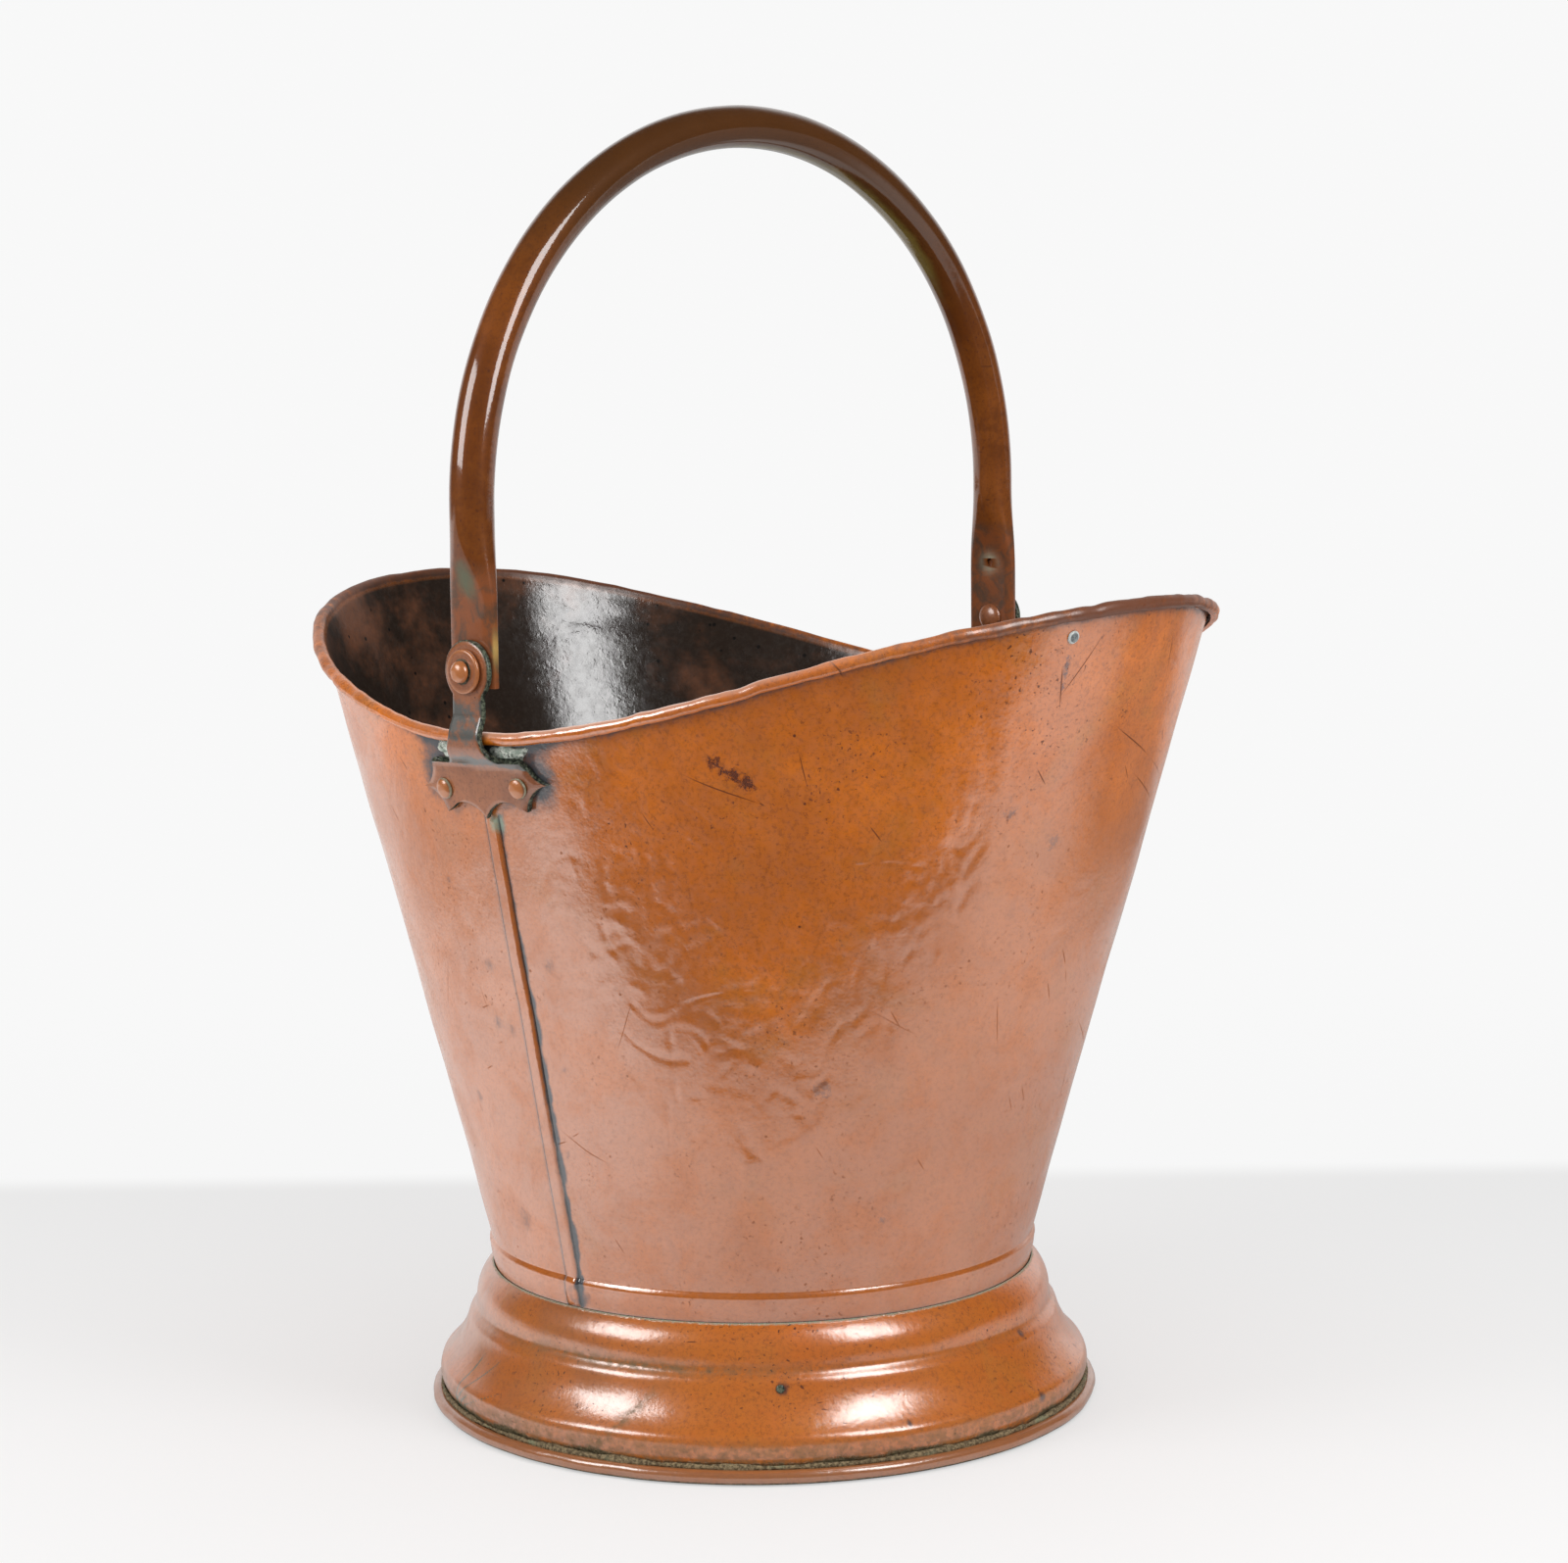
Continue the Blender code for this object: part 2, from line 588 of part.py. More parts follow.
def make_plug(name, frame, radius, mat):
    """Small flush rivet that closes a hole in the sheet."""
    shank = radius - PLUG_LIP
    inner = -SHEET - CLEARANCE - facet_sag(frame.translation.xy.length)
    profile = [
        (radius, inner - PLUG_HEAD),
        (radius, inner),
        (shank, inner),
        (shank, CLEARANCE),
        (radius, CLEARANCE),
        (radius - PLUG_CHAMFER, CLEARANCE + PLUG_HEAD),
    ]
    return add_object(name, turned_solid(profile, RIVET_SIDES, frame), mat)


def foot_plug_frame():
    """Frame on the foot's flare, close under its step, with Z pointing out."""
    step, lip = foot_corners()[3:5]
    fall = (arc(step, lip, -FLARE_HOLLOW, 4)[0] - step).normalized()
    outward = Vector((-fall.y, fall.x))
    place = step + fall * FOOT_PLUG_BELOW_STEP
    return axis_frame(around(FOOT_PLUG_ANGLE, place), around(FOOT_PLUG_ANGLE, outward))


def main():
    """Build every piece and the holes that the rivets pass through."""
    for obj in list(bpy.data.objects):
        bpy.data.objects.remove(obj, do_unlink=True)
    copper = material("copper", (0.55, 0.22, 0.09), 0.32, 1.0)
    dark_copper = material("dark_copper", (0.30, 0.11, 0.05), 0.3, 1.0)
    iron = material("iron", (0.16, 0.15, 0.14), 0.6, 1.0)
    solder = material("solder", (0.42, 0.44, 0.45), 0.5, 1.0)

    body = make_body_shell(copper)
    foot = make_foot_ring(copper)
    make_rim_wire(iron)
    make_foot_wire(iron)
    make_base_disc(copper)
    handle = make_handle(dark_copper)

    for side, word in ((-1, "left"), (1, "right")):
        ear = make_ear(f"{word}_ear", side, copper)
        pivot_hole = bore(f"{word}_pivot_cutter", axis_frame((0, 0, PIVOT_HEIGHT), (side, 0, 0)),
                          PIVOT_SHANK + CLEARANCE, HANDLE_SPAN / 4, ROVE_INSIDE, PIVOT_SIDES)
        cut(handle, pivot_hole)
        cut(ear, pivot_hole)
        for hand, place in ((-1, "front"), (1, "back")):
            frame = ear_rivet_frame(side, hand)
            make_ear_rivet(f"{word}_ear_rivet_{place}", frame, copper)
            hole = bore(f"{word}_{place}_rivet_cutter", frame, EAR_RIVET_SHANK + CLEARANCE,
                        -3 * SHEET, 2 * EAR_THICKNESS)
            cut(body, hole)
            cut(ear, hole)
        make_pivot_rivet(f"{word}_pivot_rivet", side, copper)
        make_rove(f"{word}_rove", side, copper)

    lobe_frame = wall_frame(LOBE_PLUG_ANGLE, rim_height(LOBE_PLUG_ANGLE) - LOBE_PLUG_BELOW_RIM)
    plugs = (
        ("lobe_plug", body, lobe_frame, LOBE_PLUG_RADIUS, solder),
        ("foot_plug", foot, foot_plug_frame(), FOOT_PLUG_RADIUS, copper),
    )
    for name, sheet, frame, radius, mat in plugs:
        make_plug(name, frame, radius, mat)
        hole_radius = radius - PLUG_LIP + CLEARANCE
        cut(sheet, bore(f"{name}_cutter", frame, hole_radius, -3 * SHEET, 3 * SHEET))


main()
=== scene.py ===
"""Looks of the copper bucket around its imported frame.

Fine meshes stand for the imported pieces: a dented body with its lock seam and wired rim, a moulded
foot, a tubular bail, bent ears and their rivets. Lengths are in metres, in the frame of the part.
"""

import math
import random
from collections import defaultdict

import bmesh
import bpy
import numpy as np
from mathutils import Matrix, Vector, noise


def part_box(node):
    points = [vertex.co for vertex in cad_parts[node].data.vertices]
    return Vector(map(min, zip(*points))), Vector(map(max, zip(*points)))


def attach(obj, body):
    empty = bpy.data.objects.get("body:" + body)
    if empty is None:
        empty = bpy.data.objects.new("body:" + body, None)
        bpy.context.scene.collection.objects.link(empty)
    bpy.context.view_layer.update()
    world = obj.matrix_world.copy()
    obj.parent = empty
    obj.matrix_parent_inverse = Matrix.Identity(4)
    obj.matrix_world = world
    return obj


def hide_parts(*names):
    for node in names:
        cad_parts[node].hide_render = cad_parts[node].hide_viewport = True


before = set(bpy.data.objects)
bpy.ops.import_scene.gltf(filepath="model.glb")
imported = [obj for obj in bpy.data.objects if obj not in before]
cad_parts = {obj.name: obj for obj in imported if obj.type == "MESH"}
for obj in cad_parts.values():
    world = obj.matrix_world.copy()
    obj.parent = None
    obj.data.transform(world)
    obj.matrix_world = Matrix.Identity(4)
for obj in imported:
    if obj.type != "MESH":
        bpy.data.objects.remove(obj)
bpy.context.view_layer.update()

MM = 0.001
UP = Vector((0, 0, 1))

# Camera, and the level directions that it sees as right and away
CAMERA_AZIMUTH = math.radians(-47.816)
CAMERA_REACH = 1.334
CAMERA_HEIGHT = 0.3963
CAMERA_YAW = math.radians(-0.442)
CAMERA_PITCH = math.radians(7.001)
CAMERA_ROLL = math.radians(-0.696)
CAMERA_LENS = 82.025
CAMERA_SENSOR = 36.0
CAMERA_HEADING = CAMERA_AZIMUTH + CAMERA_YAW
VIEW_RIGHT = Vector((math.cos(CAMERA_HEADING), math.sin(CAMERA_HEADING), 0))
VIEW_AWAY = Vector((-math.sin(CAMERA_HEADING), math.cos(CAMERA_HEADING), 0))

# Lamps: place to the right of the bucket's middle, towards the camera and up, then size and power
LAMPS = {
    "softbox_left": ((-0.75, 0.40, 0.65), (0.44, 0.40), 3.1),
    "softbox_right": ((0.47, 0.45, 0.65), (0.28, 0.45), 2.6),
}
LAMP_AIM = 0.2 * UP

# Room: its light, and what shows in the copper
WORLD_LEVEL = 0.68
WALL_LEVEL = 0.94
ROOM_LEVEL = 0.02
FLOOR_LEVEL = 0.93
FLOOR_GREY = (0.87, 0.87, 0.87)
FLOOR_HALF = 6.0
FLOOR_DROP = 0.2 * MM
TABLE_LEVEL = 0.95
TABLE_FRONT = 0.30
TABLE_RIGHT = 0.42
TABLE_LEFT = 0.52
TABLE_BACK = 0.342
WHITE = (1, 1, 1)

# Sheet and wire
SHEET = 1.0 * MM
WIRE_RADIUS = 1.3 * MM
ROLL_INSIDE = 1.6 * MM
ROLL_OUTSIDE = 2.6 * MM
ROLL_TURN = math.radians(288)
FIT = 0.3 * MM

# Body
NECK_RADIUS = 102.2 * MM
BODY_BOTTOM = 42.0 * MM
BASE_LEDGE = 7.0 * MM
SWAGE_HEIGHT = 59.8 * MM
CREST_HEIGHT = 60.4 * MM
CREST_RISE = 2.6 * MM
CREST_FALL = 7.8 * MM
CREST_PROUD = 1.4 * MM
RIM_LOW = 261.5 * MM
RIM_RISE = 44.0 * MM
RIM_TILT_Y = 1.35 * MM
RIM_TILT_X = 0.65 * MM
RIM_WAVE = 0.7 * MM
RIM_HALF_WIDTH = 145.2 * MM
RIM_HALF_LENGTH = 179.3 * MM

# Bottom plate
BASE_RADIUS = 100.9 * MM
BASE_MIDDLE = 1.5 * MM
BASE_TOP = 44.45 * MM
BASE_UNDER = 43.35 * MM
BASE_SINK = 0.5 * MM

# Lock seam: heights of its relief at distances along the wall from its middle
SEAM_ANGLE = math.pi
SEAM_BOTTOM = 52.3 * MM
SEAM_TOP = 233.7 * MM
SEAM_AT = np.array((-2.7, -2.4, 2.2, 2.5, 3.0, 3.5, 3.9, 4.2, 4.6)) * MM
SEAM_RELIEF = np.array((0.0, 0.35, 1.3, 1.25, 1.0, 0.5, 0.0, -0.1, 0.0)) * MM
SEAM_REACH = 14.0 * MM
SEAM_MEASURE = 1.3 * NECK_RADIUS

# Ears
EAR_THICKNESS = 2.5 * MM
EAR_HEAD_RADIUS = 10.8 * MM
EAR_NECK_HALF = 7.6 * MM
EAR_CORNER = (23.5 * MM, RIM_LOW - 6.3 * MM)
EAR_TIP = (31.2 * MM, RIM_LOW - 15.9 * MM)
EAR_LOW_POINT = (20.2 * MM, RIM_LOW - 25.1 * MM)
EAR_KEEL = (0.0, RIM_LOW - 27.5 * MM)
EAR_JOGGLE = 8.0 * MM
EAR_TILT = 0.07
EAR_BEVEL = 0.5 * MM
EAR_RIVET_SPACING = 36.4 * MM
EAR_RIVET_HEIGHT = RIM_LOW - 16.5 * MM
EAR_RIVET_HEAD = 3.8 * MM
EAR_RIVET_SHANK = 2.2 * MM

# Handle
PIVOT_HEIGHT = 285.5 * MM
HANDLE_HALF_SPAN = 143.6 * MM
TUBE_RADIUS = 7.9 * MM
STRAP_WIDTH = 21.5 * MM
STRAP_THICKNESS = 3.6 * MM
STRAP_TAIL = 5.8 * MM
STRAP_LENGTH = 18.0 * MM
SWELL_LENGTH = 34.0 * MM
LEG_LENGTH = 55.6 * MM
ARCH_HEIGHT = 134.2 * MM
VENT_RADIUS = 1.6 * MM
VENT_HEIGHT = PIVOT_HEIGHT + 22.0 * MM
VENT_INSET = 7.0 * MM
VENT_DRILL = 12.4 * MM
PIVOT_DRILL = 400.0 * MM
PIVOT_SHANK = 3.0 * MM
PIVOT_HEAD = 5.3 * MM
PEEN_RADIUS = 3.9 * MM
ROVE_RADIUS = 7.7 * MM
ROVE_THICKNESS = 1.6 * MM

# Foot: each corner's step outwards and up from the one above it
FOOT_RADIUS = 126.6 * MM
FOOT_HEIGHT = 52.0 * MM
FOOT_WIRE_HEIGHT = 2.62 * MM
OVOLO = Vector((6.8, -14.0)) * MM
OVOLO_BULGE = 1.8 * MM
FILLET = Vector((0.3, -2.0)) * MM
STEP = Vector((2.6, -2.6)) * MM
FLARE = Vector((10.8, -17.4)) * MM
FLARE_HOLLOW = 1.7 * MM
SKIRT_BULGE = 1.1 * MM
SKIRT_TUCK = 4.0 * MM

# Plugs
LOBE_PLUG_ANGLE = math.radians(260)
LOBE_PLUG_BELOW_RIM = 8.0 * MM
FOOT_PLUG_HALF = 1.55 * MM

# Places worked out from the sizes above
EAR_SLOPE = (RIM_HALF_WIDTH - ROLL_INSIDE - NECK_RADIUS) / (RIM_LOW - SWAGE_HEIGHT)
LOBE_SLOPE = (RIM_HALF_LENGTH - ROLL_INSIDE - NECK_RADIUS) / (RIM_LOW + RIM_RISE - SWAGE_HEIGHT)
STRAP_OUTSIDE = HANDLE_HALF_SPAN + STRAP_THICKNESS / 2
EAR_INSIDE = STRAP_OUTSIDE + FIT
ROVE_INSIDE = EAR_INSIDE + EAR_THICKNESS + FIT
PEEN_BASE = ROVE_INSIDE + ROVE_THICKNESS + FIT
FOOT_WIRE_RADIUS = FOOT_RADIUS - ROLL_OUTSIDE
CRUST_RADIUS = FOOT_WIRE_RADIUS - 1.3 * MM
CRUST_HEIGHT = FOOT_WIRE_HEIGHT + 3.1 * MM


# Small tools

def smooth_step(value):
    """0 to 1 with level ends, for a number or an array."""
    value = np.clip(value, 0.0, 1.0)
    return value * value * (3 - 2 * value)


def ramp(value, start, width):
    """0 at a start and 1 a width on, both in millimetres; a width below zero leads downwards."""
    return smooth_step((value - start * MM) / (width * MM))


def hump(value, width):
    """1 at zero, falling off to both sides over about the given width."""
    return np.exp(-((value / width) ** 2))


def band(value, place, width):
    """1 at a place, falling off over about a width, both in millimetres."""
    return hump(value - place * MM, width * MM)


def turn_between(angle, middle):
    """Signed angle from a middle, within half a turn."""
    return (angle - middle + np.pi) % (2 * np.pi) - np.pi


def near(angle, degrees, width):
    """1 at an angle in degrees, falling off over about a width in radians."""
    return hump(turn_between(angle, math.radians(degrees)), width)


def arc_from(angle, degrees, radius):
    """Signed distance along a circle from an angle in degrees."""
    return turn_between(angle, math.radians(degrees)) * radius


def spots(angle, height, places, radius):
    """Round spots, each with an angle in degrees and a height and a size in millimetres."""
    return sum(hump(np.hypot(arc_from(angle, place, radius), height - level * MM), size * MM)
               for place, level, size in places)


def cloud(points, size, seed):
    """Smooth noise of about -1 to 1 at each point, with lumps of a size in millimetres."""
    shift = np.array((17.3, 5.1, 9.7)) * seed
    flat = points.reshape(-1, 3) / (size * MM) + shift
    return np.array([noise.noise(p) for p in flat.tolist()]).reshape(points.shape[:-1])


def patches(points, size, seed, gain=1.0, middle=0.5):
    """Soft patches of 0 to 1 from a cloud."""
    return smooth_step(middle + gain * cloud(points, size, seed))


def around(angle, radius, height):
    """Points at an angle from +X, a distance from the Z axis and a height."""
    return np.stack(np.broadcast_arrays(radius * np.cos(angle), radius * np.sin(angle), height), -1)


def circle(count):
    """Angles spread evenly over a full turn."""
    return np.arange(count) * 2 * np.pi / count


def hoop(angles, radius, height, size, sides, stretch=1.0):
    """Rings of a wire that runs round the bucket, stretched upwards."""
    turns = circle(sides)[:, None]
    return around(angles, radius + size * np.cos(turns), height + stretch * size * np.sin(turns))


def ring_faces(rows, columns, ends):
    """Faces between closed rings of points; the ends of the run are open, capped or joined."""
    spans = rows if ends == "joined" else rows - 1
    row, column = np.meshgrid(np.arange(spans), np.arange(columns), indexing="ij")
    next_row, next_column = (row + 1) % rows, (column + 1) % columns
    corners = ((row, column), (row, next_column), (next_row, next_column), (next_row, column))
    faces = np.stack([r * columns + c for r, c in corners], -1).reshape(-1, 4).tolist()
    if ends == "capped":
        last = (rows - 1) * columns
        faces += [list(range(columns)), list(range(last, last + columns))]
    return faces


def ring_mesh(name, rings, ends, marks):
    """A closed mesh of rings; marks are named values at its vertices for the material."""
    mesh = bpy.data.meshes.new(name)
    mesh.from_pydata(rings.reshape(-1, 3).tolist(), [], ring_faces(*rings.shape[:2], ends))
    for key, values in marks.items():
        values = np.ravel(np.broadcast_to(values, rings.shape[:2]))
        mesh.attributes.new(key, "FLOAT", "POINT").data.foreach_set("value", values)
    bm = bmesh.new()
    bm.from_mesh(mesh)
    bmesh.ops.remove_doubles(bm, verts=bm.verts, dist=0.001 * MM)
    bmesh.ops.recalc_face_normals(bm, faces=bm.faces)
    bm.to_mesh(mesh)
    bm.free()
    return mesh


def add_object(name, data):
    """A new object in the scene."""
    made = bpy.data.objects.new(name, data)
    bpy.context.scene.collection.objects.link(made)
    return made


def add_piece(name, rings, ends, mat, node=None, marks=None, sharp=50, body="bucket"):
    """A piece of rings that rides on a body."""
    mesh = ring_mesh(name, rings, ends, marks or {})
    mesh.shade_smooth()
    mesh.set_sharp_from_angle(angle=math.radians(sharp))
    mesh.materials.append(mat)
    piece = add_object(name, mesh)
    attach(piece, body)
    if node:
        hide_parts(node)
    return piece


def arc(start, end, bulge, steps):
    """Points on a circular arc after start up to end, bowed by bulge to the left of the chord."""
    chord = Vector(end) - Vector(start)
    left = Vector((-chord.y, chord.x)).normalized()
    half = chord.length / 2
    radius = (half * half + bulge * bulge) / (2 * bulge)
    centre = Vector(start) + chord / 2 + left * (bulge - radius)
    spoke = Vector(start) - centre
    sweep = 2 * math.copysign(math.atan2(half, abs(radius) - abs(bulge)), bulge)
    turns = [-sweep * k / steps for k in range(1, steps + 1)]
    return [centre + Matrix.Rotation(turn, 2) @ spoke for turn in turns]


def line(start, end, steps):
    """Points on a straight line after start up to end."""
    return [Vector(start).lerp(Vector(end), k / steps) for k in range(1, steps + 1)]


def spoke_ends(centre, radius, turns):
    """Points at angles round a centre in the plane."""
    return [centre + radius * Vector((math.cos(t), math.sin(t))) for t in turns]


def axis_frame(point, direction):
    """A frame at a point with its Z axis along a direction."""
    return Matrix.Translation(point) @ Vector(direction).to_track_quat("Z", "Y").to_matrix().to_4x4()


def placed(points, place):
    """Points moved from a frame into the part's own."""
    matrix = np.array(place)
    return points @ matrix[:3, :3].T + matrix[:3, 3]


def turned(profile, sides, place):
    """Points of a profile of radii and heights turned about the place's Z axis, ring by ring."""
    return placed(np.stack([around(circle(sides), radius, height) for radius, height in profile]), place)


def dome(radius, base, depth, steps):
    """Profile of a domed head from its rim to nearly its middle."""
    turns = [math.pi / 2 * k / (steps + 0.3) for k in range(steps + 1)]
    return [(radius * math.cos(t), base + depth * math.sin(t)) for t in turns]


def dome_below(radius, base, depth, steps):
    """Profile of a domed head that hangs below its base, from its middle out."""
    return [(r, 2 * base - z) for r, z in reversed(dome(radius, base, depth, steps))]


# Materials

class Value:
    """A node's output, which takes part in sums and products."""

    def __init__(self, nodes, socket):
        self.nodes = nodes
        self.socket = socket

    def __add__(self, other):
        return self.nodes.maths("ADD", self, other)

    def __sub__(self, other):
        return self.nodes.maths("SUBTRACT", self, other)

    def __rsub__(self, other):
        return self.nodes.maths("SUBTRACT", other, self)

    def __mul__(self, other):
        return self.nodes.maths("MULTIPLY", self, other)

    def most(self, other):
        """The greater of two values."""
        return self.nodes.maths("MAXIMUM", self, other)

    def beside(self, output):
        """Another output of the same node."""
        return Value(self.nodes, self.socket.node.outputs[output])


class Nodes:
    """Adds nodes to a tree, with values or links on their inputs."""

    def __init__(self, tree):
        self.tree = tree

    def node(self, kind, output=0, settings=None, **inputs):
        """One output of a new node, whose inputs are named, or numbered as in_0."""
        made = self.tree.nodes.new("ShaderNode" + kind)
        for key, value in (settings or {}).items():
            setattr(made, key, value)
        for key, value in inputs.items():
            index = int(key[3:]) if key.startswith("in_") else key.replace("_", " ")
            self.feed(made.inputs[index], value)
        return Value(self, made.outputs[output]) if made.outputs else None

    def feed(self, socket, value):
        """Link a value to a socket, or set the socket's own."""
        if isinstance(value, Value):
            self.tree.links.new(value.socket, socket)
        elif socket.type == "RGBA":
            socket.default_value = (*value, 1)
        else:
            socket.default_value = value

    def span(self, value, low, high, out_low=0, out_high=1):
        """The value mapped smoothly from one range to another, and held there."""
        return self.node("MapRange", 0, {"interpolation_type": "SMOOTHSTEP"}, in_0=value, in_1=low,
                         in_2=high, in_3=out_low, in_4=out_high)

    def maths(self, operation, first, second=0):
        """A sum, product or other operation on two values."""
        return self.node("Math", 0, {"operation": operation}, in_0=first, in_1=second)

    def along(self, vector, direction):
        """How far a vector reaches along a direction."""
        return self.node("VectorMath", "Value", {"operation": "DOT_PRODUCT"}, in_0=vector, in_1=direction)

    def blend(self, amount, first, second):
        """One value turning into another."""
        return self.node("Mix", in_0=amount, in_2=first, in_3=second)


class Paint(Nodes):
    """A Principled material whose colour and relief build up, on coordinates that move with the piece."""

    def __init__(self, name):
        self.mat = bpy.data.materials.new(name)
        self.mat.use_nodes = True
        super().__init__(self.mat.node_tree)
        self.coords = self.node("TexCoord", "Object")
        self.colour = None
        self.relief = {}

    def noise(self, scale, detail=3, roughness=0.55, distortion=0, coords=None):
        """A noise value from 0 to 1."""
        return self.node("TexNoise", "Fac", Vector=coords or self.coords, Scale=scale, Detail=detail,
                         Roughness=roughness, Distortion=distortion)

    def tint(self, grain, *spread):
        """Noise of a grain, spread from one range to another."""
        return self.span(self.noise(*grain), *spread)

    def mix(self, amount, first, second):
        """One colour turning into another."""
        return self.node("Mix", 2, {"data_type": "RGBA"}, in_0=amount, in_6=first, in_7=second)

    def cover(self, amount, colour):
        """Lay a colour over what is there."""
        self.colour = self.mix(amount, self.colour, colour)

    def mark(self, name):
        """A value that the mesh holds at its vertices."""
        return self.node("Attribute", "Fac", {"attribute_name": name})

    def lay(self, name, ragged, colour, weight=0.6, low=0.6, high=1.15):
        """Lay a colour over a mark of the mesh, with a ragged edge; returns where it lies."""
        place = self.span(self.mark(name) + ragged * weight, low, high)
        self.cover(place, colour)
        return place

    def sheet(self):
        """Places along and up the sheet, swaying a little, for scratches that follow it."""
        flat = self.node("CombineXYZ", in_0=self.mark("along"), in_1=self.mark("up"))
        sway = self.node("TexNoise", "Color", Vector=flat, Scale=16, Detail=1)
        reach = (0.010, 0.010, 0)
        return self.node("VectorMath", 0, {"operation": "MULTIPLY_ADD"}, in_0=sway, in_1=reach, in_2=flat)

    def dashes(self, coords, across, along, size, share, turn):
        """Thin dashes in one direction, in a share of long random cells."""
        aim = self.node("Mapping", Vector=coords, Rotation=(0, 0, turn))
        cells = self.node("Mapping", Vector=aim, Scale=(1 / across, 1 / along, 1 / across))
        return self.specks(1, size, share, cells)

    def specks(self, scale, size, share, coords=None):
        """A spot in the middle of a share of the cells of a random pattern."""
        reach = self.node("TexVoronoi", "Distance", Vector=coords or self.coords, Scale=scale)
        pick = self.node("SeparateColor", in_0=reach.beside("Color"))
        return self.span(reach, size * 0.5, size, 1, 0) * self.maths("LESS_THAN", pick, share)

    def worms(self, scale, width, seed):
        """Thin broken curving lines, as of creases."""
        coords = self.node("Mapping", Vector=self.coords, Location=(seed, seed * 0.7, seed * 1.3),
                           Rotation=(seed, seed * 2, seed * 0.5))
        off = self.maths("ABSOLUTE", self.noise(scale, 1, 0.5, 0.6, coords) - 0.5)
        broken = self.tint((scale * 1.7, 2, 0.5, 0, coords), 0.54, 0.62)
        return self.span(off, 0, width, 1, 0) * broken

    def bump(self, height, strength, distance):
        """Small relief over any that is there, with a distance in millimetres; below zero it sinks."""
        made = self.node("Bump", 0, {"invert": strength < 0}, Height=height, Strength=abs(strength),
                         Distance=distance * MM, **self.relief)
        self.relief = {"Normal": made}

    def finish(self, **inputs):
        """The material, with its relief, its colour and values on the shader's own sockets."""
        shader = self.tree.nodes["Principled BSDF"]
        normal = self.relief["Normal"]
        for key, value in dict(inputs, Base_Color=self.colour, Normal=normal, Coat_Normal=normal).items():
            self.feed(shader.inputs[key.replace("_", " ")], value)
        return self.mat


ORANGE = (0.80, 0.200, 0.005)
BROWN = (0.60, 0.145, 0.006)
BRONZE = (0.57, 0.178, 0.012)
SPOT = (0.085, 0.026, 0.012)
SOOT = (0.026, 0.016, 0.011)
RUST = (0.175, 0.068, 0.034)
# Blue-grey of tarnish, also used as painted shade just under the rim bead
HAZE_AND_SHADE = (0.075, 0.078, 0.088)
VERDIGRIS = (0.290, 0.360, 0.270)

# Sets of scratches, as direction in radians and length in millimetres
SCRATCHES = ((0.5, 230), (1.2, 60), (2, 260), (2.5, 70), (2.9, 150))


def aged_copper(paint, coords, base, dark, pale, strength):
    """Colour the paint as handled copper; returns how far specks and scratches break its gloss."""
    paint.colour = base
    paint.cover(paint.tint((13, 4, 0.6, 0.3), 0.36, 0.64), dark)
    paint.cover(paint.tint((31, 5, 0.62, 0.4), 0.50, 0.72, 0, 0.7), pale)
    paint.cover(paint.tint((95, 4, 0.7, 0.5), 0.44, 0.70, 0, 0.75), dark)
    grain = paint.tint((700, 4, 0.75), 0.46, 0.68, 0, 0.38)
    paint.cover(grain, SPOT)
    clusters = paint.tint((22, 3, 0.6), 0.42, 0.66, 0.25, 1)
    freckles = paint.tint((640, 2, 0.5), 0.645, 0.70) * clusters
    freckles = freckles.most(paint.specks(150, 0.11, 0.08)) * strength
    paint.cover(freckles, SPOT)
    scratches = 0
    for turn, length in SCRATCHES:
        scratches = paint.dashes(coords, 5 * MM, length * MM, 0.07, 0.6, turn).most(scratches)
    paint.cover(scratches * 0.8, SPOT)
    cloudy = paint.tint((46, 5, 0.68, 0.4), 0.42, 0.66, 0, 0.24)
    return (freckles.most(scratches) * 0.8).most(grain * 0.35 + cloudy)


def soot_colour(paint):
    """Colour of the inside: soot-dark with rusty clouds and fine pale grain."""
    rusty = paint.span(paint.noise(24, 5, 0.65, 0.15) + paint.mark("rust") * 0.12, 0.50, 0.78)
    colour = paint.mix(rusty, SOOT, RUST)
    colour = paint.mix(paint.tint((420, 3, 0.7), 0.42, 0.80, 0, 0.5), colour, (0.050, 0.038, 0.030))
    return paint.mix(paint.specks(210, 0.22, 0.25), colour, (0.008, 0.006, 0.005))


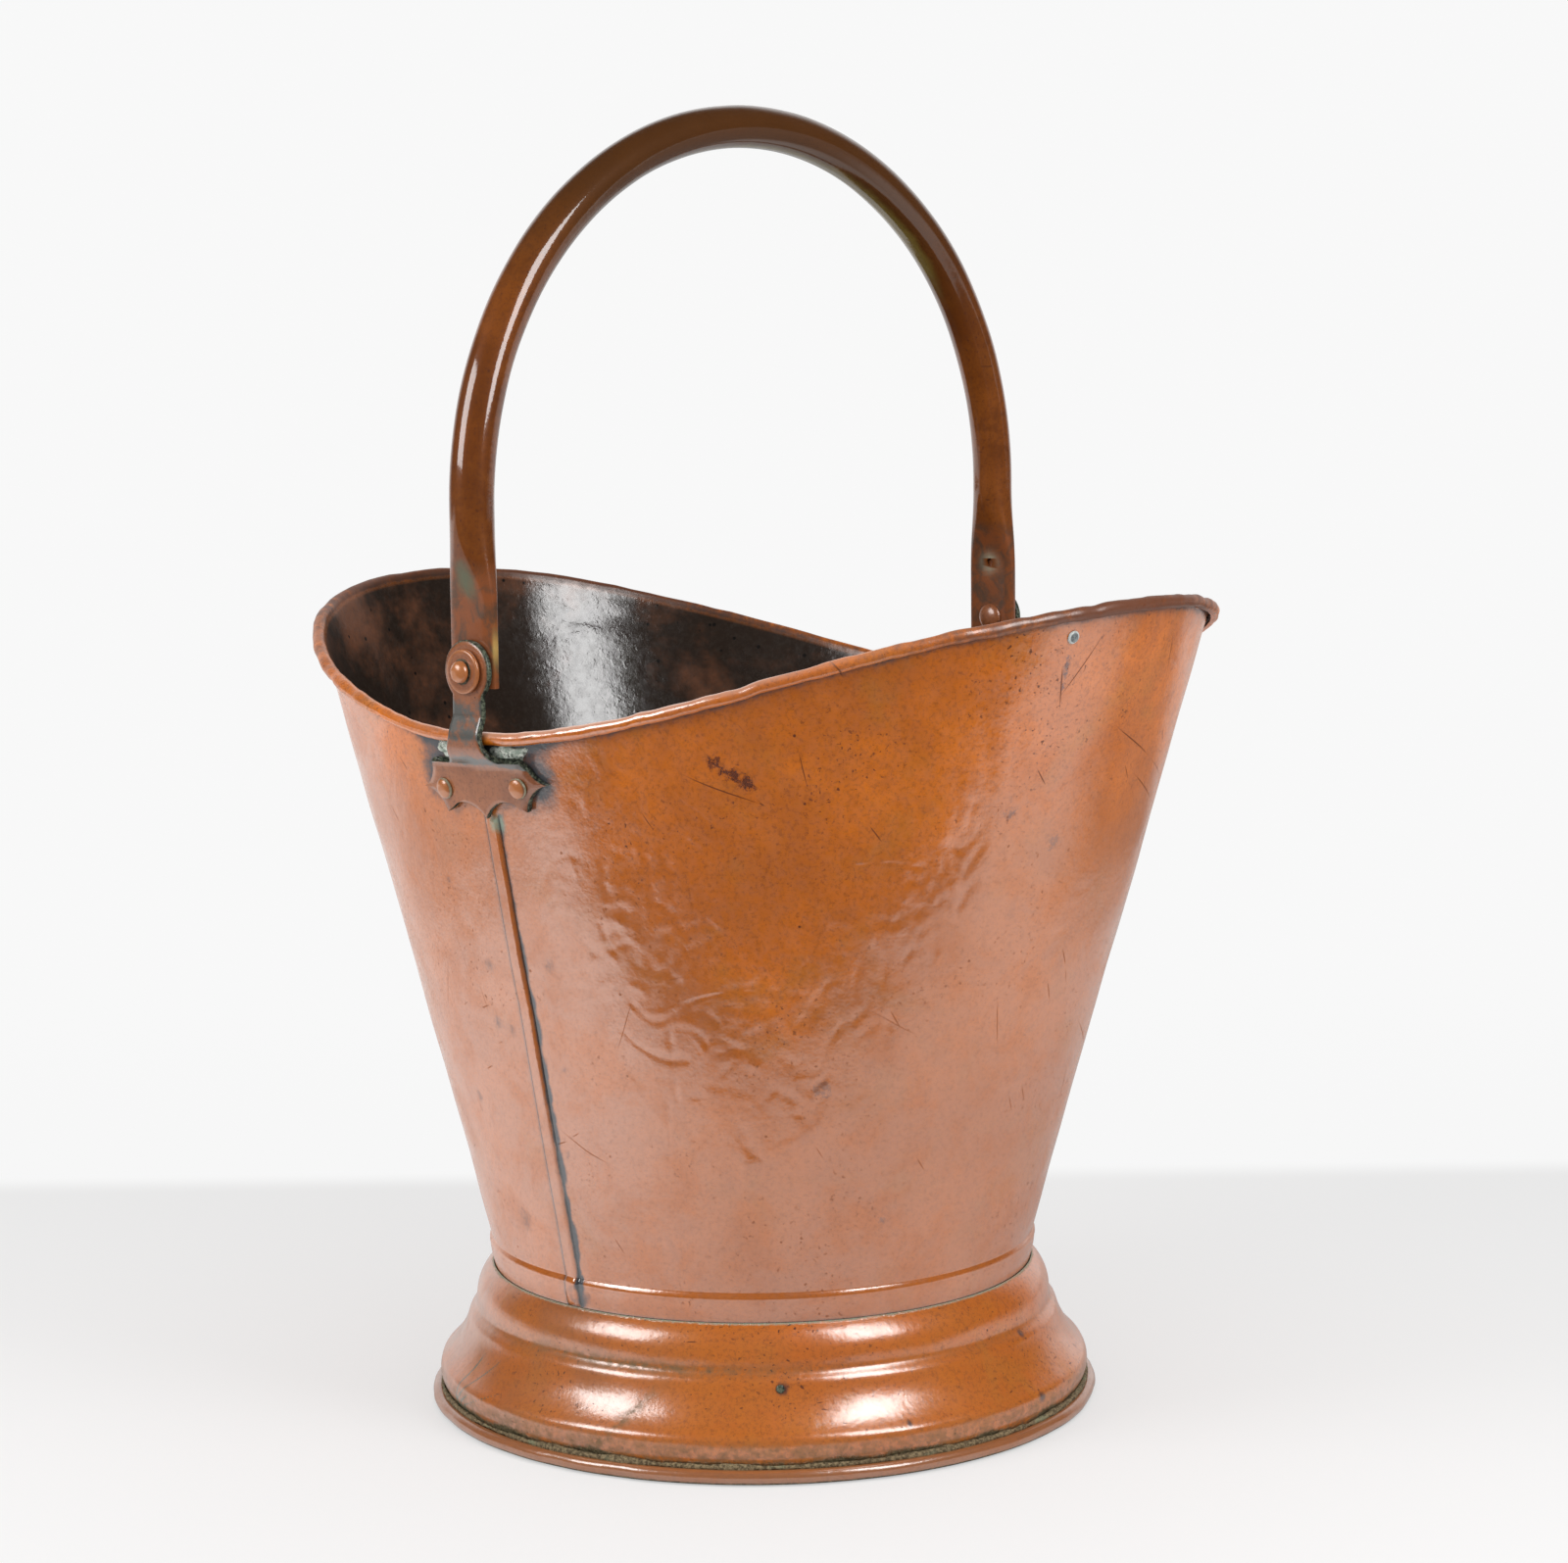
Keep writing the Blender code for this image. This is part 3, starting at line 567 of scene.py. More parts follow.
def body_copper():
    """Orange-brown copper outside, soot-dark inside, with tarnish and solder where they gather, painted shade
    under the rim bead and a painted highlight on the upper side of the bead's front.
    """
    paint = Paint("body_copper")
    worn_off = aged_copper(paint, paint.sheet(), ORANGE, BROWN, BRONZE, 0.9)
    ragged = paint.noise(260, 4, 0.7)
    paint.lay("stain", paint.noise(420, 4, 0.7), (0.17, 0.040, 0.014), 2.4, 1.75, 2.25)
    paint.cover(paint.mark("dusk") * 0.55, (0.44, 0.125, 0.022))
    paint.lay("brown", ragged, (0.16, 0.052, 0.022), 0.9, 0.75, 1.30)
    # Painted highlight: a pale pink upper side on the front of the rim bead
    paint.cover(paint.mark("pale"), (0.84, 0.52, 0.40))
    # Blue-grey tarnish by the seam and the ears, and painted shade just under the rim bead
    haze_and_shade = paint.lay("haze_and_shade", ragged, HAZE_AND_SHADE)
    green = paint.lay("green", ragged, VERDIGRIS)
    paint.cover(paint.mark("line"), (0.025, 0.022, 0.022))
    inside = paint.mark("inside")
    paint.cover(inside, soot_colour(paint))
    dull = green.most(haze_and_shade)
    paint.bump(paint.noise(230, 3, 0.6), 0.10, 1)
    paint.bump(inside * paint.tint((300, 3, 0.6), 0.54, 0.72), -0.10, 0.4)
    paint.bump(paint.worms(22, 0.045, 3.1) * paint.mark("crease"), -0.16, 0.8)
    paint.bump(paint.noise(800, 2, 0.6), 0.10, 0.3)
    coat = (1 - dull * 0.5 - paint.mark("brown") * 0.8) * (1 - worn_off)
    worn = paint.tint((34, 4, 0.6, 0.2), 0.40, 0.66, 0.05, 0.24)
    sheen = paint.blend(paint.mark("sheen"), worn, 0.36)
    gloss = paint.span(ragged, 0.35, 0.65, 0.15, 0.23) + paint.mark("brown") * 0.2
    return paint.finish(Roughness=paint.tint((60, 4, 0.6), 0.3, 0.7, 0.42, 0.55) + dull * 0.25,
                        Metallic=0.08, Specular_IOR_Level=0.05, Coat_Roughness=gloss, Coat_IOR=3.2,
                        Coat_Weight=paint.blend(inside, coat, sheen))


def foot_copper():
    """Bright orange copper with dirt and verdigris in its crevices, and painted shade under its wired edge.
    """
    paint = Paint("foot_copper")
    worn_off = aged_copper(paint, paint.coords, (0.60, 0.160, 0.008), BROWN, BRONZE, 0.9)
    ragged = paint.noise(300, 4, 0.7)
    # Darker olive-brown on the left side of the foot, and on the bead, where it is partly painted shade
    paint.cover(paint.mark("dusk") * 0.5, (0.30, 0.125, 0.055))
    paint.lay("stain", ragged, (0.10, 0.040, 0.030))
    crumbs = paint.tint((650, 3, 0.7), 0.40, 0.66)
    # Dirt in the crevice above the wire, and painted shade on the underside of the wired edge
    dirt_and_shade = paint.lay("dirt", ragged, paint.mix(crumbs, (0.045, 0.036, 0.018), (0.19, 0.155, 0.075)))
    film = paint.mark("film") * paint.span(ragged, 0.30, 0.62)
    paint.cover(film, (0.150, 0.115, 0.062))
    paint.lay("streak", ragged, (0.060, 0.110, 0.072))
    green = paint.lay("green", ragged, VERDIGRIS)
    dull = dirt_and_shade.most(green)
    paint.bump(paint.noise(110, 3, 0.6), 0.12, 1.2)
    paint.bump(paint.noise(520, 3, 0.6), 0.14, 0.4)
    paint.bump(dull * crumbs, 0.6, 0.6)
    return paint.finish(Roughness=paint.tint((60, 4, 0.6), 0.3, 0.7, 0.38, 0.50) + dull * 0.4,
                        Metallic=0.08, Specular_IOR_Level=0.2, Coat_Roughness=0.22, Coat_IOR=2.5,
                        Coat_Weight=paint.span(dull.most(film), 0, 1, 1, 0.1) * (1 - worn_off))


def handle_copper():
    """Dark glossy copper, worn warmer on the straps, with olive braze inside the arch and painted shade over
    its top.
    """
    paint = Paint("handle_copper")
    aged_copper(paint, paint.coords, (0.255, 0.07, 0.01), (0.15, 0.04, 0.007), (0.26, 0.08, 0.012), 0.7)
    ragged = paint.noise(90, 4, 0.65)
    # Painted shade: darker over the top of the arch
    paint.cover(paint.mark("dark"), (0.085, 0.030, 0.006))
    blotches = paint.tint((120, 5, 0.7, 0.6), 0.40, 0.66)
    strap = paint.lay("strap", ragged, paint.mix(blotches, (0.26, 0.078, 0.026), (0.115, 0.060, 0.036)))
    paint.lay("braze", ragged, (0.20, 0.135, 0.030))
    paint.lay("green", ragged, (0.125, 0.125, 0.075))
    paint.cover(paint.mark("worn"), (0.75, 0.52, 0.16))
    paint.cover(paint.mark("burr"), (0.52, 0.52, 0.38))
    paint.bump(paint.noise(300, 3, 0.6), 0.07, 0.6)
    return paint.finish(Roughness=paint.tint((80, 4, 0.6), 0.3, 0.7, 0.36, 0.50), Metallic=0.15,
                        Specular_IOR_Level=0.1, Coat_Weight=paint.span(strap, 0, 1, 1, 0.6),
                        Coat_Roughness=0.09, Coat_IOR=1.75)


def fitting_copper():
    """Dull brown copper of the ears and rivets with grey and green tarnish."""
    paint = Paint("fitting_copper")
    aged_copper(paint, paint.coords, (0.42, 0.140, 0.048), (0.26, 0.082, 0.029), (0.47, 0.190, 0.085), 0.6)
    ragged = paint.noise(420, 4, 0.7)
    paint.lay("bright", ragged, (0.50, 0.170, 0.050))
    paint.lay("pale", ragged, (0.40, 0.42, 0.29))
    paint.lay("grey", paint.noise(150, 5, 0.7), (0.100, 0.098, 0.088), 1.6, 1.25, 1.65)
    crust = paint.tint((900, 3, 0.7), 0.40, 0.66)
    green = paint.lay("green", ragged, paint.mix(crust, (0.018, 0.024, 0.018), (0.150, 0.175, 0.120)))
    paint.bump(paint.noise(900, 3, 0.6), 0.15, 0.3)
    return paint.finish(Roughness=paint.tint((120, 4, 0.6), 0.3, 0.7, 0.40, 0.55), Metallic=0.2,
                        Specular_IOR_Level=0.2, Coat_Weight=paint.span(green, 0, 1, 0.9, 0.2),
                        Coat_Roughness=0.22, Coat_IOR=2)


def mottled(name, grain, spread, first, second):
    """A paint that drifts between two colours, and its drift."""
    paint = Paint(name)
    drift = paint.tint(grain, *spread)
    paint.colour = paint.mix(drift, first, second)
    return paint, drift


def dirt():
    """Hardened brown dirt with green in it."""
    paint, _ = mottled("dirt", (900, 4, 0.7), (0.36, 0.66), (0.070, 0.046, 0.020), (0.30, 0.225, 0.120))
    paint.cover(paint.tint((60, 3, 0.6), 0.54, 0.68, 0, 0.6), (0.24, 0.27, 0.16))
    paint.bump(paint.noise(900, 3, 0.7), 0.7, 0.5)
    return paint.finish(Roughness=0.85)


def solder():
    """Crusty grey-white solder with green in its hollows."""
    paint, _ = mottled("solder", (520, 5, 0.7), (0.38, 0.66), (0.30, 0.36, 0.30), (0.78, 0.80, 0.72))
    paint.cover(paint.tint((900, 2, 0.5), 0.56, 0.68, 0, 0.85), (0.05, 0.05, 0.04))
    paint.bump(paint.noise(800, 4, 0.7), 0.6, 0.6)
    return paint.finish(Roughness=0.6)


def grey_plug():
    """Dull tin, dark in its pitted middle and pale round the edge."""
    paint, drift = mottled("grey_plug", (600, 4, 0.7), (0.35, 0.7),
                           (0.30, 0.33, 0.33), (0.08, 0.09, 0.095))
    paint.lay("pale", drift, (0.66, 0.71, 0.69))
    paint.bump(paint.noise(1100, 3, 0.6), 0.4, 0.4)
    return paint.finish(Roughness=0.5, Metallic=0.2)


def iron():
    """Rust-brown iron wire."""
    paint, _ = mottled("iron_wire", (300, 4, 0.7), (0.35, 0.7), (0.085, 0.075, 0.07), (0.14, 0.062, 0.03))
    paint.bump(paint.noise(900, 3, 0.6), 0.3, 0.4)
    return paint.finish(Roughness=0.62, Metallic=0.7)


def base_copper():
    """Soot-dark copper of the bottom inside, scuffed by what it carried."""
    paint = Paint("base_copper")
    long, short = [paint.dashes(paint.coords, 3 * MM, length * MM, 0.08, 0.6, turn)
                   for turn, length in ((0.7, 90), (2.2, 60))]
    paint.colour = soot_colour(paint)
    paint.cover(long.most(short) * 0.6, (0.16, 0.075, 0.04))
    paint.bump(paint.noise(260, 4, 0.6), 0.25, 0.5)
    return paint.finish(Roughness=0.5, Metallic=0.35, Coat_Weight=0.5, Coat_Roughness=0.25)


# Body

SEAM_ARCS = np.array((-9, -6, -4.2, -3.2, -2.85, -2.6, -2.35, -1.2, 0, 1.2, 2.0, 2.35, 2.7, 3.05, 3.4, 3.75,
                      4.1, 4.6, 5.5, 7, 9.5)) * MM
COLUMN_RUNS = ((264, 215), (312, 60), (490, 76))
LAST_COLUMNS = 54
LOW_ROWS = np.array((42, 46, 50, 52, 52.4, 53, 53.8, 54.8, 55.8, 56.8, 57.6, 58.4, 59, 59.6, 60.2, 60.8, 61.4,
                     62, 62.6, 62.9, 63.1, 63.6)) * MM
WALL_FROM = 65 * MM
WALL_ROWS = 140
HEM_INSIDE_STEPS = 7
HEM_OUTSIDE_STEPS = 14
INSIDE_ROWS = 30
LOWEST_INSIDE_ROW = 9
SOOTY_HEM_ROWS = 3
WRINKLES = 360
WRINKLES_IN_FRONT = 240

# Knocks in the rim, as angle in degrees and height and length in millimetres
RIM_KINKS = ((221.5, 0.9, 5.0), (206, 0.45, 6.0), (247, -0.4, 7.0), (263, 0.5, 5.0), (284, -0.6, 6.0),
             (118, 0.8, 7.0), (139, -0.6, 5.0), (97, 0.5, 5.0), (64, -0.4, 6.0), (322, 0.5, 6.0))

# Stains on the outside and soft smudges beside the seam, as spots
STAINS = ((218.8, 253.6, 4.0), (216.4, 257.5, 3.4), (221.2, 250.5, 3.6), (264.2, 224.6, 4.0),
          (244.7, 87.6, 3.0), (232.0, 140.0, 5.0), (256.0, 236.0, 4.0))
SMUDGES = ((173, 178, 5.5), (172, 157, 5.0), (176, 155, 4.5), (160.5, 125, 5.0), (187, 182, 4.5),
           (168.5, 81, 8.0), (166.5, 208, 3.5), (187, 143, 2.5), (185, 111, 3.0))


def towards_lobes(angle):
    """0 at the ears and 1 at the lobes."""
    return (1 - np.cos(2 * angle)) / 2


def rim_height(angle):
    """Height of the rim wire: low at the ears, high at the lobes, with the sway and kinks of hard use."""
    level = RIM_LOW + RIM_RISE * towards_lobes(angle)
    sway = RIM_WAVE * (np.sin(5 * angle + 0.6) + 0.6 * np.sin(9 * angle + 2.0)) / 2
    for place, height, length in RIM_KINKS:
        run = arc_from(angle, place, RIM_HALF_WIDTH) / (length * MM)
        sway = sway + height * MM * run * hump(run, 1.0)
    calm = smooth_step(np.abs(np.sin(angle)) / 0.35)
    return level - RIM_TILT_Y * np.sin(angle) - RIM_TILT_X * np.cos(angle) + sway * calm


def wall_radius(angle, height):
    """Outer radius of the oval cone, which flares least towards the ears."""
    slope = EAR_SLOPE + (LOBE_SLOPE - EAR_SLOPE) * towards_lobes(angle)
    return NECK_RADIUS + slope * (height - SWAGE_HEIGHT)


def skin_radius(angle, height):
    """Outer radius of the sheet with its upright neck and the swaged shoulder above it."""
    reach = np.where(height > CREST_HEIGHT, CREST_RISE, CREST_FALL)
    offset = np.minimum(np.abs(height - CREST_HEIGHT) / reach, 1.0)
    return np.maximum(NECK_RADIUS, wall_radius(angle, height)) + CREST_PROUD * np.cos(np.pi / 2 * offset)


def wall_point(angle, height):
    """A point on the outside of the cone."""
    return Vector(around(angle, wall_radius(angle, height), height))


def wall_frame(angle, height, proud=0.0):
    """A frame on the outside of the cone with Z pointing out along its normal."""
    nudge = 0.0005
    place = wall_point(angle, height)
    across = wall_point(angle + nudge, height) - place
    upward = wall_point(angle, height + nudge) - place
    normal = across.cross(upward).normalized()
    return axis_frame(place + normal * proud, normal)


def body_columns():
    """Angle of each column: close together at the seam and round the front, wide apart at the back."""
    clear = SEAM_REACH / SEAM_MEASURE
    runs = [SEAM_ANGLE + SEAM_ARCS / SEAM_MEASURE]
    start = SEAM_ANGLE + clear
    for end, count in COLUMN_RUNS:
        runs.append(np.linspace(start, math.radians(end), count, endpoint=False))
        start = math.radians(end)
    runs.append(np.linspace(start, SEAM_ANGLE - clear + 2 * np.pi, LAST_COLUMNS))
    return np.concatenate(runs)


def seam_distance(columns):
    """Distance of each column along the wall from the middle of the seam."""
    return turn_between(columns, SEAM_ANGLE) * SEAM_MEASURE


def along_seam(columns, radius):
    """Column angles at a radius: near the seam they keep their distance from it along the wall."""
    close = 1 - smooth_step((np.abs(seam_distance(columns)) - SEAM_ARCS[-1]) / SEAM_REACH)
    return columns + close * turn_between(columns, SEAM_ANGLE) * (SEAM_MEASURE / radius - 1)


def wall_shares():
    """Shares of the way up the wall, closest together where it is most creased."""
    steps = np.linspace(0, 1, 400)
    density = 0.55 + smooth_step((steps - 0.06) / 0.10) * (1 - 0.45 * smooth_step((steps - 0.80) / 0.10))
    run = np.cumsum(density) - density[0]
    return np.interp(np.linspace(0, run[-1], WALL_ROWS), run, steps)


def wrinkles(angle, height, radius):
    """Shallow curved creases left by hammering and knocks, as a radial offset of each point."""
    draw = random.Random(11)
    offset = np.zeros_like(height)
    for k in range(WRINKLES):
        share = draw.uniform(-1, 1)
        if k < WRINKLES_IN_FRONT:
            at_angle = math.radians(draw.gauss(223 + 30 * share, 6.5))
            at_height = draw.gauss(138 + 92 * abs(share), 18) * MM
        else:
            at_angle = math.pi + share * math.pi
            at_height = draw.uniform(85, 250) * MM
        heading = draw.uniform(0, math.pi)
        length = draw.uniform(7, 24) * MM
        width = draw.uniform(0.7, 1.2) * MM
        depth = draw.choice((-1, -1, 1)) * draw.uniform(0.06, 0.20) * MM
        bend = draw.uniform(-55, 55)
        across = turn_between(angle, at_angle) * radius
        rise = height - at_height
        close = (np.abs(across) < length) & (np.abs(rise) < length)
        u = across[close] * math.cos(heading) + rise[close] * math.sin(heading)
        v = rise[close] * math.cos(heading) - across[close] * math.sin(heading) - bend * u * u
        offset[close] += depth * smooth_step(1 - np.abs(u) / (length / 2)) * np.exp(-0.5 * (v / width) ** 2)
    return offset


def ripples(angle, height, points):
    """Upright ripples on the wall beside the ear and under the front lobe."""
    beside_ear = near(angle, 177, 0.16) * band(height, 215, 30)
    under_lobe = near(angle, 254, 0.14) * band(height, 238, 28)
    grain = cloud(points * np.array((1, 1, 0.45)), 9, 3)
    return 0.50 * MM * grain * np.clip(beside_ear + under_lobe, 0, 1)


def dents(angle, height, radius):
    """Radial offset of the whole sheet: broad unevenness and creases, fading at seam, neck and ears."""
    points = around(angle, radius, height)
    broad = 0.70 * MM * cloud(points, 55, 1) + 0.26 * MM * cloud(points, 22, 2)
    beside_ear = np.minimum(np.abs(np.sin(angle)) * radius / (40 * MM), 1.0)
    free = np.maximum(smooth_step(beside_ear * 1.6 - 0.6), ramp(height - RIM_LOW, -34, -25))
    free = free * ramp(height, 66, 22)
    below_rim = ramp(rim_height(angle) - height, 0, 10)
    worked = broad + wrinkles(angle, height, radius) + ripples(angle, height, points)
    return worked * free * (0.25 + 0.75 * below_rim)


def seam_relief(columns, height):
    """Height of the folded lock seam above the wall: beaten down a little low on the body."""
    rise = np.interp(seam_distance(columns), SEAM_AT, SEAM_RELIEF, left=0.0, right=0.0)
    ends = ramp(height - SEAM_BOTTOM, 0, 0.6) * ramp(SEAM_TOP - height, 0, 1.5)
    return rise * ends * (0.8 + 0.2 * ramp(height, 60, 90))


def rim_centre(angle):
    """Radius and height of the rim wire's centre."""
    height = rim_height(angle)
    return wall_radius(angle, height) + ROLL_INSIDE, height


def hem(angle, size, steps):
    """Radii and heights of the sheet rolled over the rim wire, from the wall over the top."""
    radius, height = rim_centre(angle)
    turns = np.pi - ROLL_TURN * np.arange(steps + 1)[:, None] / steps
    return radius + size * np.cos(turns), height + size * np.sin(turns)


def rim_knocks(angle):
    """How far lumps, pits and hammer marks take the rolled bead in at each of its points."""
    ring = around(angle, RIM_HALF_WIDTH, 0.0)
    lumps = 0.24 * MM * patches(ring, 15, 5, 1.3) + 0.20 * MM * patches(ring, 5, 6, 1.2, 0.4)
    bead = around(angle, *hem(angle, ROLL_OUTSIDE, HEM_OUTSIDE_STEPS))
    return lumps + 0.30 * MM * patches(bead, 7, 7, 1.1, 0.35)


def rolled_rim(angle, shift):
    """Rings of the roll, over the inside of the sheet and back over its beaten outside."""
    inner_radius, inner_height = hem(angle, ROLL_INSIDE, HEM_INSIDE_STEPS)
    outer_radius, outer_height = hem(angle, ROLL_OUTSIDE - rim_knocks(angle), HEM_OUTSIDE_STEPS)
    outer = around(angle, outer_radius + shift, outer_height)
    return np.concatenate((around(angle, inner_radius + shift, inner_height), outer[::-1]))


def inside_rows(count):
    """Numbers of the outside's rows that the inside follows, closest together under the rim."""
    shoulder = len(LOW_ROWS)
    shares = np.linspace(0, 1, INSIDE_ROWS)[1:]
    shares = 0.25 * shares + 0.75 * shares ** 3
    picks = np.unique((count - 1 - shares * (count - 1 - shoulder)).round().astype(int))[::-1]
    return np.concatenate((picks, np.arange(shoulder - 1, LOWEST_INSIDE_ROW - 1, -1)))


def inner_ripple(angle, height):
    """Two level dents that show inside, under the far lobe."""
    depth = 0.60 * MM * band(height, 284, 2.6) - 0.50 * MM * band(height, 276, 3.2)
    return near(angle, 67, 0.12) * depth


def base_ledge(columns):
    """Rings of the sheet's bottom edge, turned in to carry the base."""
    neck = along_seam(columns, NECK_RADIUS)
    lip = NECK_RADIUS - BASE_LEDGE
    corners = ((NECK_RADIUS - SHEET, BODY_BOTTOM + SHEET), (lip, BODY_BOTTOM + SHEET), (lip, BODY_BOTTOM))
    return np.stack([around(neck, radius, height) for radius, height in corners])


def ear_haze(angle, height):
    """1 close under an ear plate, fading out over the wall round it."""
    across = np.abs(np.sin(angle)) * wall_radius(angle, height)
    above = np.abs(height - (RIM_LOW - 13 * MM))
    return (1 - ramp(across, 27, 14)) * (1 - ramp(above, 0, 24))


def outside_marks(columns, angles, heights):
    """Where tarnish, verdigris, dark lines and stains lie on the outside of the body, with painted shade just
    under the rim bead.
    """
    arcs = seam_distance(columns)
    on_seam = (heights > SEAM_BOTTOM) & (heights < SEAM_TOP + 2 * MM)
    low_half = 1 - ramp(heights, 100, 120)
    blotch = patches(around(angles, wall_radius(angles, heights), heights), 7, 15, 1.2)
    # Painted shade: a dark band on the wall just under the rim bead; the rest of this mark is tarnish by the
    # seam, the ears and smudges
    haze_and_shade = 0.85 * band(rim_height(angles) - heights, 0, 4.6)
    haze_and_shade = haze_and_shade + band(arcs, 4.6, 1.0) * on_seam * (0.55 + 0.35 * low_half)
    haze_and_shade = haze_and_shade + band(arcs, 5.5, 2.2) * on_seam * blotch * (0.25 + 0.45 * low_half)
    haze_and_shade = haze_and_shade + 0.85 * ear_haze(angles, heights)
    haze_and_shade = haze_and_shade + 0.8 * band(arcs, 4, 7) * band(heights, 57, 5) * blotch
    haze_and_shade = haze_and_shade + 0.55 * spots(angles, heights, SMUDGES, RIM_HALF_WIDTH)
    corners = band(arcs, 4.1, 0.40) + 0.9 * band(arcs, -2.75, 0.45)
    aside = np.minimum(np.abs(turn_between(angles, math.radians(223))) / math.radians(30), 1.0)
    trail = hump(turn_between(angles, LOBE_PLUG_ANGLE) * RIM_HALF_WIDTH, 1.8 * MM) * band(heights, 285, 10)
    marks = {
        "haze_and_shade": haze_and_shade,
        "green": 0.8 * band(arcs, 3, 5) * band(heights, 232, 5),
        "line": corners * on_seam + 0.8 * band(heights - FOOT_HEIGHT, 0, 0.4),
        "stain": spots(angles, heights, STAINS, RIM_HALF_WIDTH) + trail,
        "dusk": smooth_step((155 * MM + 85 * MM * aside - heights) / (45 * MM) + 0.5),
        "crease": near(angles, 227, 0.55) * band(heights, 185, 62) + 0.25 * ramp(heights, 90, 40),
    }
    return {key: np.clip(values, 0, 1) for key, values in marks.items()}


def bead_marks(angles, points):
    """Stains, brown lobes and a pale front on the rolled bead; the pale front is a painted highlight on the
    bead's upper side.
    """
    above = smooth_step((points[..., 2] - rim_height(angles)) / ROLL_OUTSIDE)
    return {
        "stain": 0.45 * patches(points, 16, 16, 1.2),
        "brown": 0.9 * np.maximum(near(angles, 268, 0.62), near(angles, 80, 1.3)),
        # Painted highlight on the upper side of the bead's front
        "pale": 0.9 * above * near(angles, 203, 0.5),
    }


def inside_marks(columns, points):
    """Soot inside, rust on its left and under the rim, and the band that shines."""
    depth = rim_height(columns) - points[..., 2]
    streak = turn_between(columns, math.radians(67))
    return {
        "inside": ramp(depth, -3, 5),
        "rust": near(columns, 104, 0.5) * band(depth, 0, 45) + 0.4 * band(depth, 0, 8),
        "sheen": smooth_step((0.14 - streak) / 0.03) * smooth_step((streak + 0.19) / 0.12),
    }


def make_body(mat):
    """Dented sheet body: neck, swaged shoulder, oval cone, lock seam, wired rim and dark inside."""
    columns = body_columns()
    wall = WALL_FROM + wall_shares()[:, None] * (rim_height(columns)[None, :] - WALL_FROM)
    heights = np.concatenate((np.repeat(LOW_ROWS[:, None], len(columns), 1), wall))
    angles = along_seam(columns, skin_radius(columns, heights))
    smooth = skin_radius(angles, heights)
    dented = smooth + dents(angles, heights, smooth)
    outside = around(angles, dented + seam_relief(columns, heights), heights)
    top = along_seam(columns, wall_radius(columns, RIM_LOW))
    rolled = rolled_rim(top, (dented - smooth)[-1])
    picks = inside_rows(len(heights))
    hollow = dented[picks] - SHEET - inner_ripple(angles[picks], heights[picks])
    inside = around(angles[picks], hollow, heights[picks])
    rings = np.concatenate((outside, rolled, inside, base_ledge(columns)))

    marks = defaultdict(lambda: np.zeros(rings.shape[:2]))
    bead = slice(len(outside) + HEM_INSIDE_STEPS, len(outside) + len(rolled))
    sooty = slice(bead.stop - SOOTY_HEM_ROWS, None)
    parts = (
        (slice(len(outside)), outside_marks(columns, angles, heights)),
        (bead, bead_marks(top, rings[bead])),
        (sooty, inside_marks(columns, rings[sooty])),
    )
    for rows, made in parts:
        for key, values in made.items():
            marks[key][rows] = values
    marks["along"] = np.abs(arc_from(columns, 140, RIM_HALF_WIDTH))
    marks["up"] = rings[..., 2]
    add_piece("body", rings, "joined", mat, "body_shell", marks, sharp=40)


def make_rim_wire(mat):
    """Iron wire inside the rolled rim."""
    angles = circle(240)
    rings = hoop(angles, *rim_centre(angles), WIRE_RADIUS, 10)
    add_piece("wire_in_rim", rings, "joined", mat, "rim_wire")


def make_base(mat):
    """Bottom plate with a slightly sunk middle, dinged by its loads."""
    angles = circle(180)
    radii = np.linspace(BASE_RADIUS, BASE_MIDDLE, 40)[:, None]
    sink = BASE_SINK * ramp(radii, 98, -60)
    plate = around(angles, radii, BASE_TOP - sink)
    plate[..., 2] -= 0.35 * MM * patches(plate, 17, 12) * (radii < 97 * MM)
    under = around(angles, radii, BASE_UNDER - sink)[::-1]
    rings = np.concatenate((plate, under))
    add_piece("base", rings, "joined", mat, "base_disc", {"rust": 0.4})


# Foot

FOOT_SOFTENING = 3
FOOT_ROLL_STEPS = 14

# Green streaks, as angles in degrees at their low and top ends and the top's height in millimetres
STREAKS = ((154.4, 166.2, 31.0), (154.0, 158.0, 30.0), (156.0, 163.0, 18.0), (158.0, 173.0, 22.0))
FOOT_SPOTS = ((277.2, 13.9, 3.0), (280.3, 34.5, 2.2), (225.4, 31.0, 3.4), (247.0, 17.0, 1.8))


def foot_outline():
    """Outside of the foot from its top edge down to the wire, with softened corners."""
    edge = Vector((NECK_RADIUS + FIT, FOOT_HEIGHT))
    ovolo = edge + OVOLO
    fillet = ovolo + FILLET
    step = fillet + STEP
    lip = step + FLARE
    tuck = Vector((FOOT_WIRE_RADIUS - ROLL_INSIDE - SHEET / 2, FOOT_WIRE_HEIGHT + SKIRT_TUCK))
    path = [edge, *arc(edge, ovolo, OVOLO_BULGE, 20), *line(ovolo, fillet, 3), *line(fillet, step, 5)]
    path += arc(step, lip, -FLARE_HOLLOW, 26)
    path += arc(lip, tuck, SKIRT_BULGE, 12)
    for _ in range(FOOT_SOFTENING):
        path[1:-1] = [(a + 2 * b + c) / 4 for a, b, c in zip(path, path[1:], path[2:])]
    return path


